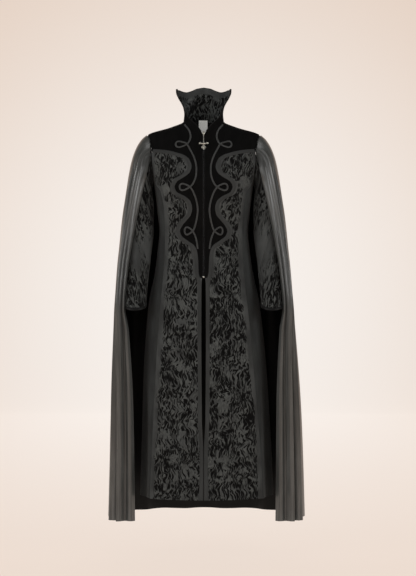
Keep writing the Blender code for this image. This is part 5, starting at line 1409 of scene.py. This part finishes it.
SHAFT = (
    ("down", "radius"),
    (0.0019, 0.0007), (0.0030, 0.0017), (0.0042, 0.0011), (0.0056, 0.0016), (0.0066, 0.0011),
    (0.0150, 0.0013), (0.0200, 0.0017), (0.0215, 0.0012), (0.0290, 0.0016), (0.0310, 0.0022),
    (0.0330, 0.0017),
)
parts = []
turn = np.linspace(0, 2 * math.pi, 28, endpoint=False)[:, None]
bail_circle = hang * np.cos(turn) + facing * np.sin(turn)
parts.append(tube(swing + hang * 0.0004 + bail_circle * 0.0021, 0.0006, RIGHT, 10, closed=True))
shaft_down = np.linspace(0.0019, 0.0330, 70)
shaft = swing + shaft_down[:, None] * hang
parts.append(tube(shaft, read(SHAFT, "radius", shaft_down, key="down"), facing, 14))
guard = (
    (-0.0143, 0.0368, 0), (-0.0150, 0.0348, 0), (-0.0130, 0.0334, 0), (-0.0100, 0.0352, 0),
    (-0.0060, 0.0372, 0), (0.0000, 0.0366, 0), (0.0060, 0.0372, 0), (0.0100, 0.0352, 0),
    (0.0130, 0.0334, 0), (0.0150, 0.0348, 0), (0.0143, 0.0368, 0),
)
line = pendant_path(guard)
parts.append(tube(line, 0.0012 + 0.0009 * np.cos(np.linspace(-1.5, 1.5, len(line))) ** 2, facing, 12))
knob_radii = np.array([1.5, 1.8, 1.9, 1.9, 1.8, 1.6, 1.4, 1.2, 0.9, 0.7, 0.4]) * 0.001
for way in (-1, 1):
    knob = pendant_path([(way * 0.0140, 0.0366, 0), (way * 0.0128, 0.0376, 0), (way * 0.0112, 0.0380, 0)], 5)
    parts.append(tube(knob, knob_radii, facing, 12))
    leaf = pendant_path([(0, 0.0485, 0), (way * 0.0034, 0.0480, 0), (way * 0.0062, 0.0498, 0),
                         (way * 0.0066, 0.0530, 0), (way * 0.0046, 0.0546, 0), (way * 0.0032, 0.0532, 0)])
    parts.append(tube(leaf, np.linspace(0.0013, 0.0008, len(leaf)), facing, 10))
    sprig = pendant_path([(way * 0.0010, 0.0540, 0), (way * 0.0030, 0.0556, 0), (way * 0.0050, 0.0566, 0)])
    parts.append(tube(sprig, np.linspace(0.0011, 0.0005, len(sprig)), facing, 10))
eye = swing + hang * 0.0436 + (RIGHT * np.cos(turn) + hang * np.sin(turn)) * 0.0022
parts.append(tube(eye, 0.0009, facing, 10, closed=True))
boss = pendant_path([(0, 0.0335, 0), (0, 0.0366, 0), (0, 0.0400, 0)], 8)
parts.append(tube(boss, 0.0008 + 0.0022 * np.sin(np.linspace(0.1, math.pi - 0.1, len(boss))), facing, 14))
drop = pendant_path([(0, 0.0455, 0), (0, 0.0500, 0), (0, 0.0550, 0), (0, 0.0610, 0)], 8)
drop_share = np.linspace(0, 1, len(drop))
parts.append(tube(drop, 0.0004 + 0.0024 * np.sin(math.pi * drop_share ** 0.8) ** 0.8, facing, 14, flat=1.0))
pendant = joined("pull_pendant_cast", parts, [silver])
settle(pendant, "silver", "pull_pendant", body_name="pendant")

# %% [markdown]
# ## Stage, light and camera
#
# The photograph is a studio shot on a flat beige ground with soft light from all around. A sweep that
# curves from floor to wall has no line behind the coat. Large soft lights at both sides draw the bright
# edges on the satin, and the camera stands level with the coat's middle, six metres away, so it hardly
# distorts.

# %% Stage
FLOOR = -1.45
# The sweep glows by itself: painted light, brightest round a spot behind the coat and darker out to its
# edges, a painted pool of light.
stage_paint, tree, shader = new_material("glowing_paper_sweep", Roughness=0.9)
shader.inputs["Base Color"].default_value = linear("#3a3734")
place = add(tree, "ShaderNodeTexCoord").outputs["Object"]
middle = add(tree, "ShaderNodeMapping", {"Vector": place})
middle.inputs["Location"].default_value = (0.0, 0.600, 0.173)
middle.inputs["Scale"].default_value = (0.291, -0.075, 0.277)
away = add(tree, "ShaderNodeVectorMath", {0: middle.outputs["Vector"]}, operation="LENGTH").outputs["Value"]
painted_light_pool = mix(tree, ramp(tree, away, 0.08, 1.02), "#f4eee9", "#e0ccbd")
tree.links.new(painted_light_pool, shader.inputs["Emission Color"])
shader.inputs["Emission Strength"].default_value = 1.0
bend = np.linspace(0, math.pi / 2, 24)
curve = np.stack([6.5 + 1.5 * np.sin(bend), FLOOR + 1.5 * (1 - np.cos(bend))], axis=1)
profile = np.vstack([[(-12.0, FLOOR)], curve, [(8.0, 9.0)]])
sweep = np.stack([np.broadcast_to(np.linspace(-12, 12, 13)[None], (len(profile), 13)),
                  np.broadcast_to(profile[:, :1], (len(profile), 13)),
                  np.broadcast_to(profile[:, 1:], (len(profile), 13))], axis=-1)
behind = sweep + np.array([0.0, 0.02, -0.02])
floor = closed_shell("studio_sweep", sweep, behind, [stage_paint])
floor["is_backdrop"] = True

# %% Light
scene = bpy.context.scene
scene.view_settings.view_transform = "Standard"
world = bpy.data.worlds.new("studio")
scene.world = world
world.use_nodes = True
world.node_tree.nodes["Background"].inputs["Color"].default_value = linear("#efe6dd")
world.node_tree.nodes["Background"].inputs["Strength"].default_value = 0.12


def soft_light(name, place, aim, size, power):
    """A square area light that looks from its place to a point."""
    data = bpy.data.lights.new(name, "AREA")
    data.shape, data.size, data.energy = "SQUARE", size, power
    lamp = bpy.data.objects.new(name, data)
    way = np.array(aim, float) - np.array(place, float)
    lamp.location = place
    turn = math.atan2(way[1], way[0]) - math.pi / 2
    lamp.rotation_euler = (math.acos(-way[2] / np.linalg.norm(way)), 0, turn)
    scene.collection.objects.link(lamp)


LIGHTS = (
    ("left", (-2.6, -1.6, 0.3), (0, 0, -0.6), 1.2, 26.0),
    ("right", (2.6, -1.6, 0.3), (0, 0, -0.6), 1.2, 24.0),
    ("front", (-1.0, -4.5, 0.9), (0, 0, -0.6), 2.2, 22.0),
    ("top", (0.1, -1.4, 2.2), (0, 0, -0.6), 1.4, 10.0),
)
for name, place, aim, size, power in LIGHTS:
    soft_light(f"light_{name}", place, aim, size, power)

# %% Camera
CAMERA_PLACE, FRAME_HEIGHT = (0.0145, -6.0, -0.5596), 1.9412
camera = bpy.data.cameras.new("camera")
camera.sensor_width = 36.0
camera.lens = camera.sensor_width * abs(CAMERA_PLACE[1]) / FRAME_HEIGHT
camera_object = bpy.data.objects.new("camera", camera)
camera_object.location = CAMERA_PLACE
camera_object.rotation_euler = (math.pi / 2, 0, 0)
scene.collection.objects.link(camera_object)
scene.camera = camera_object

# %% Compare the sizes and finish
low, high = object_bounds()
difference = np.array([low, high]) - np.array([cad_low, cad_high])
print("visual minus CAD, mm:", np.round(difference * 1000, 1).tolist())
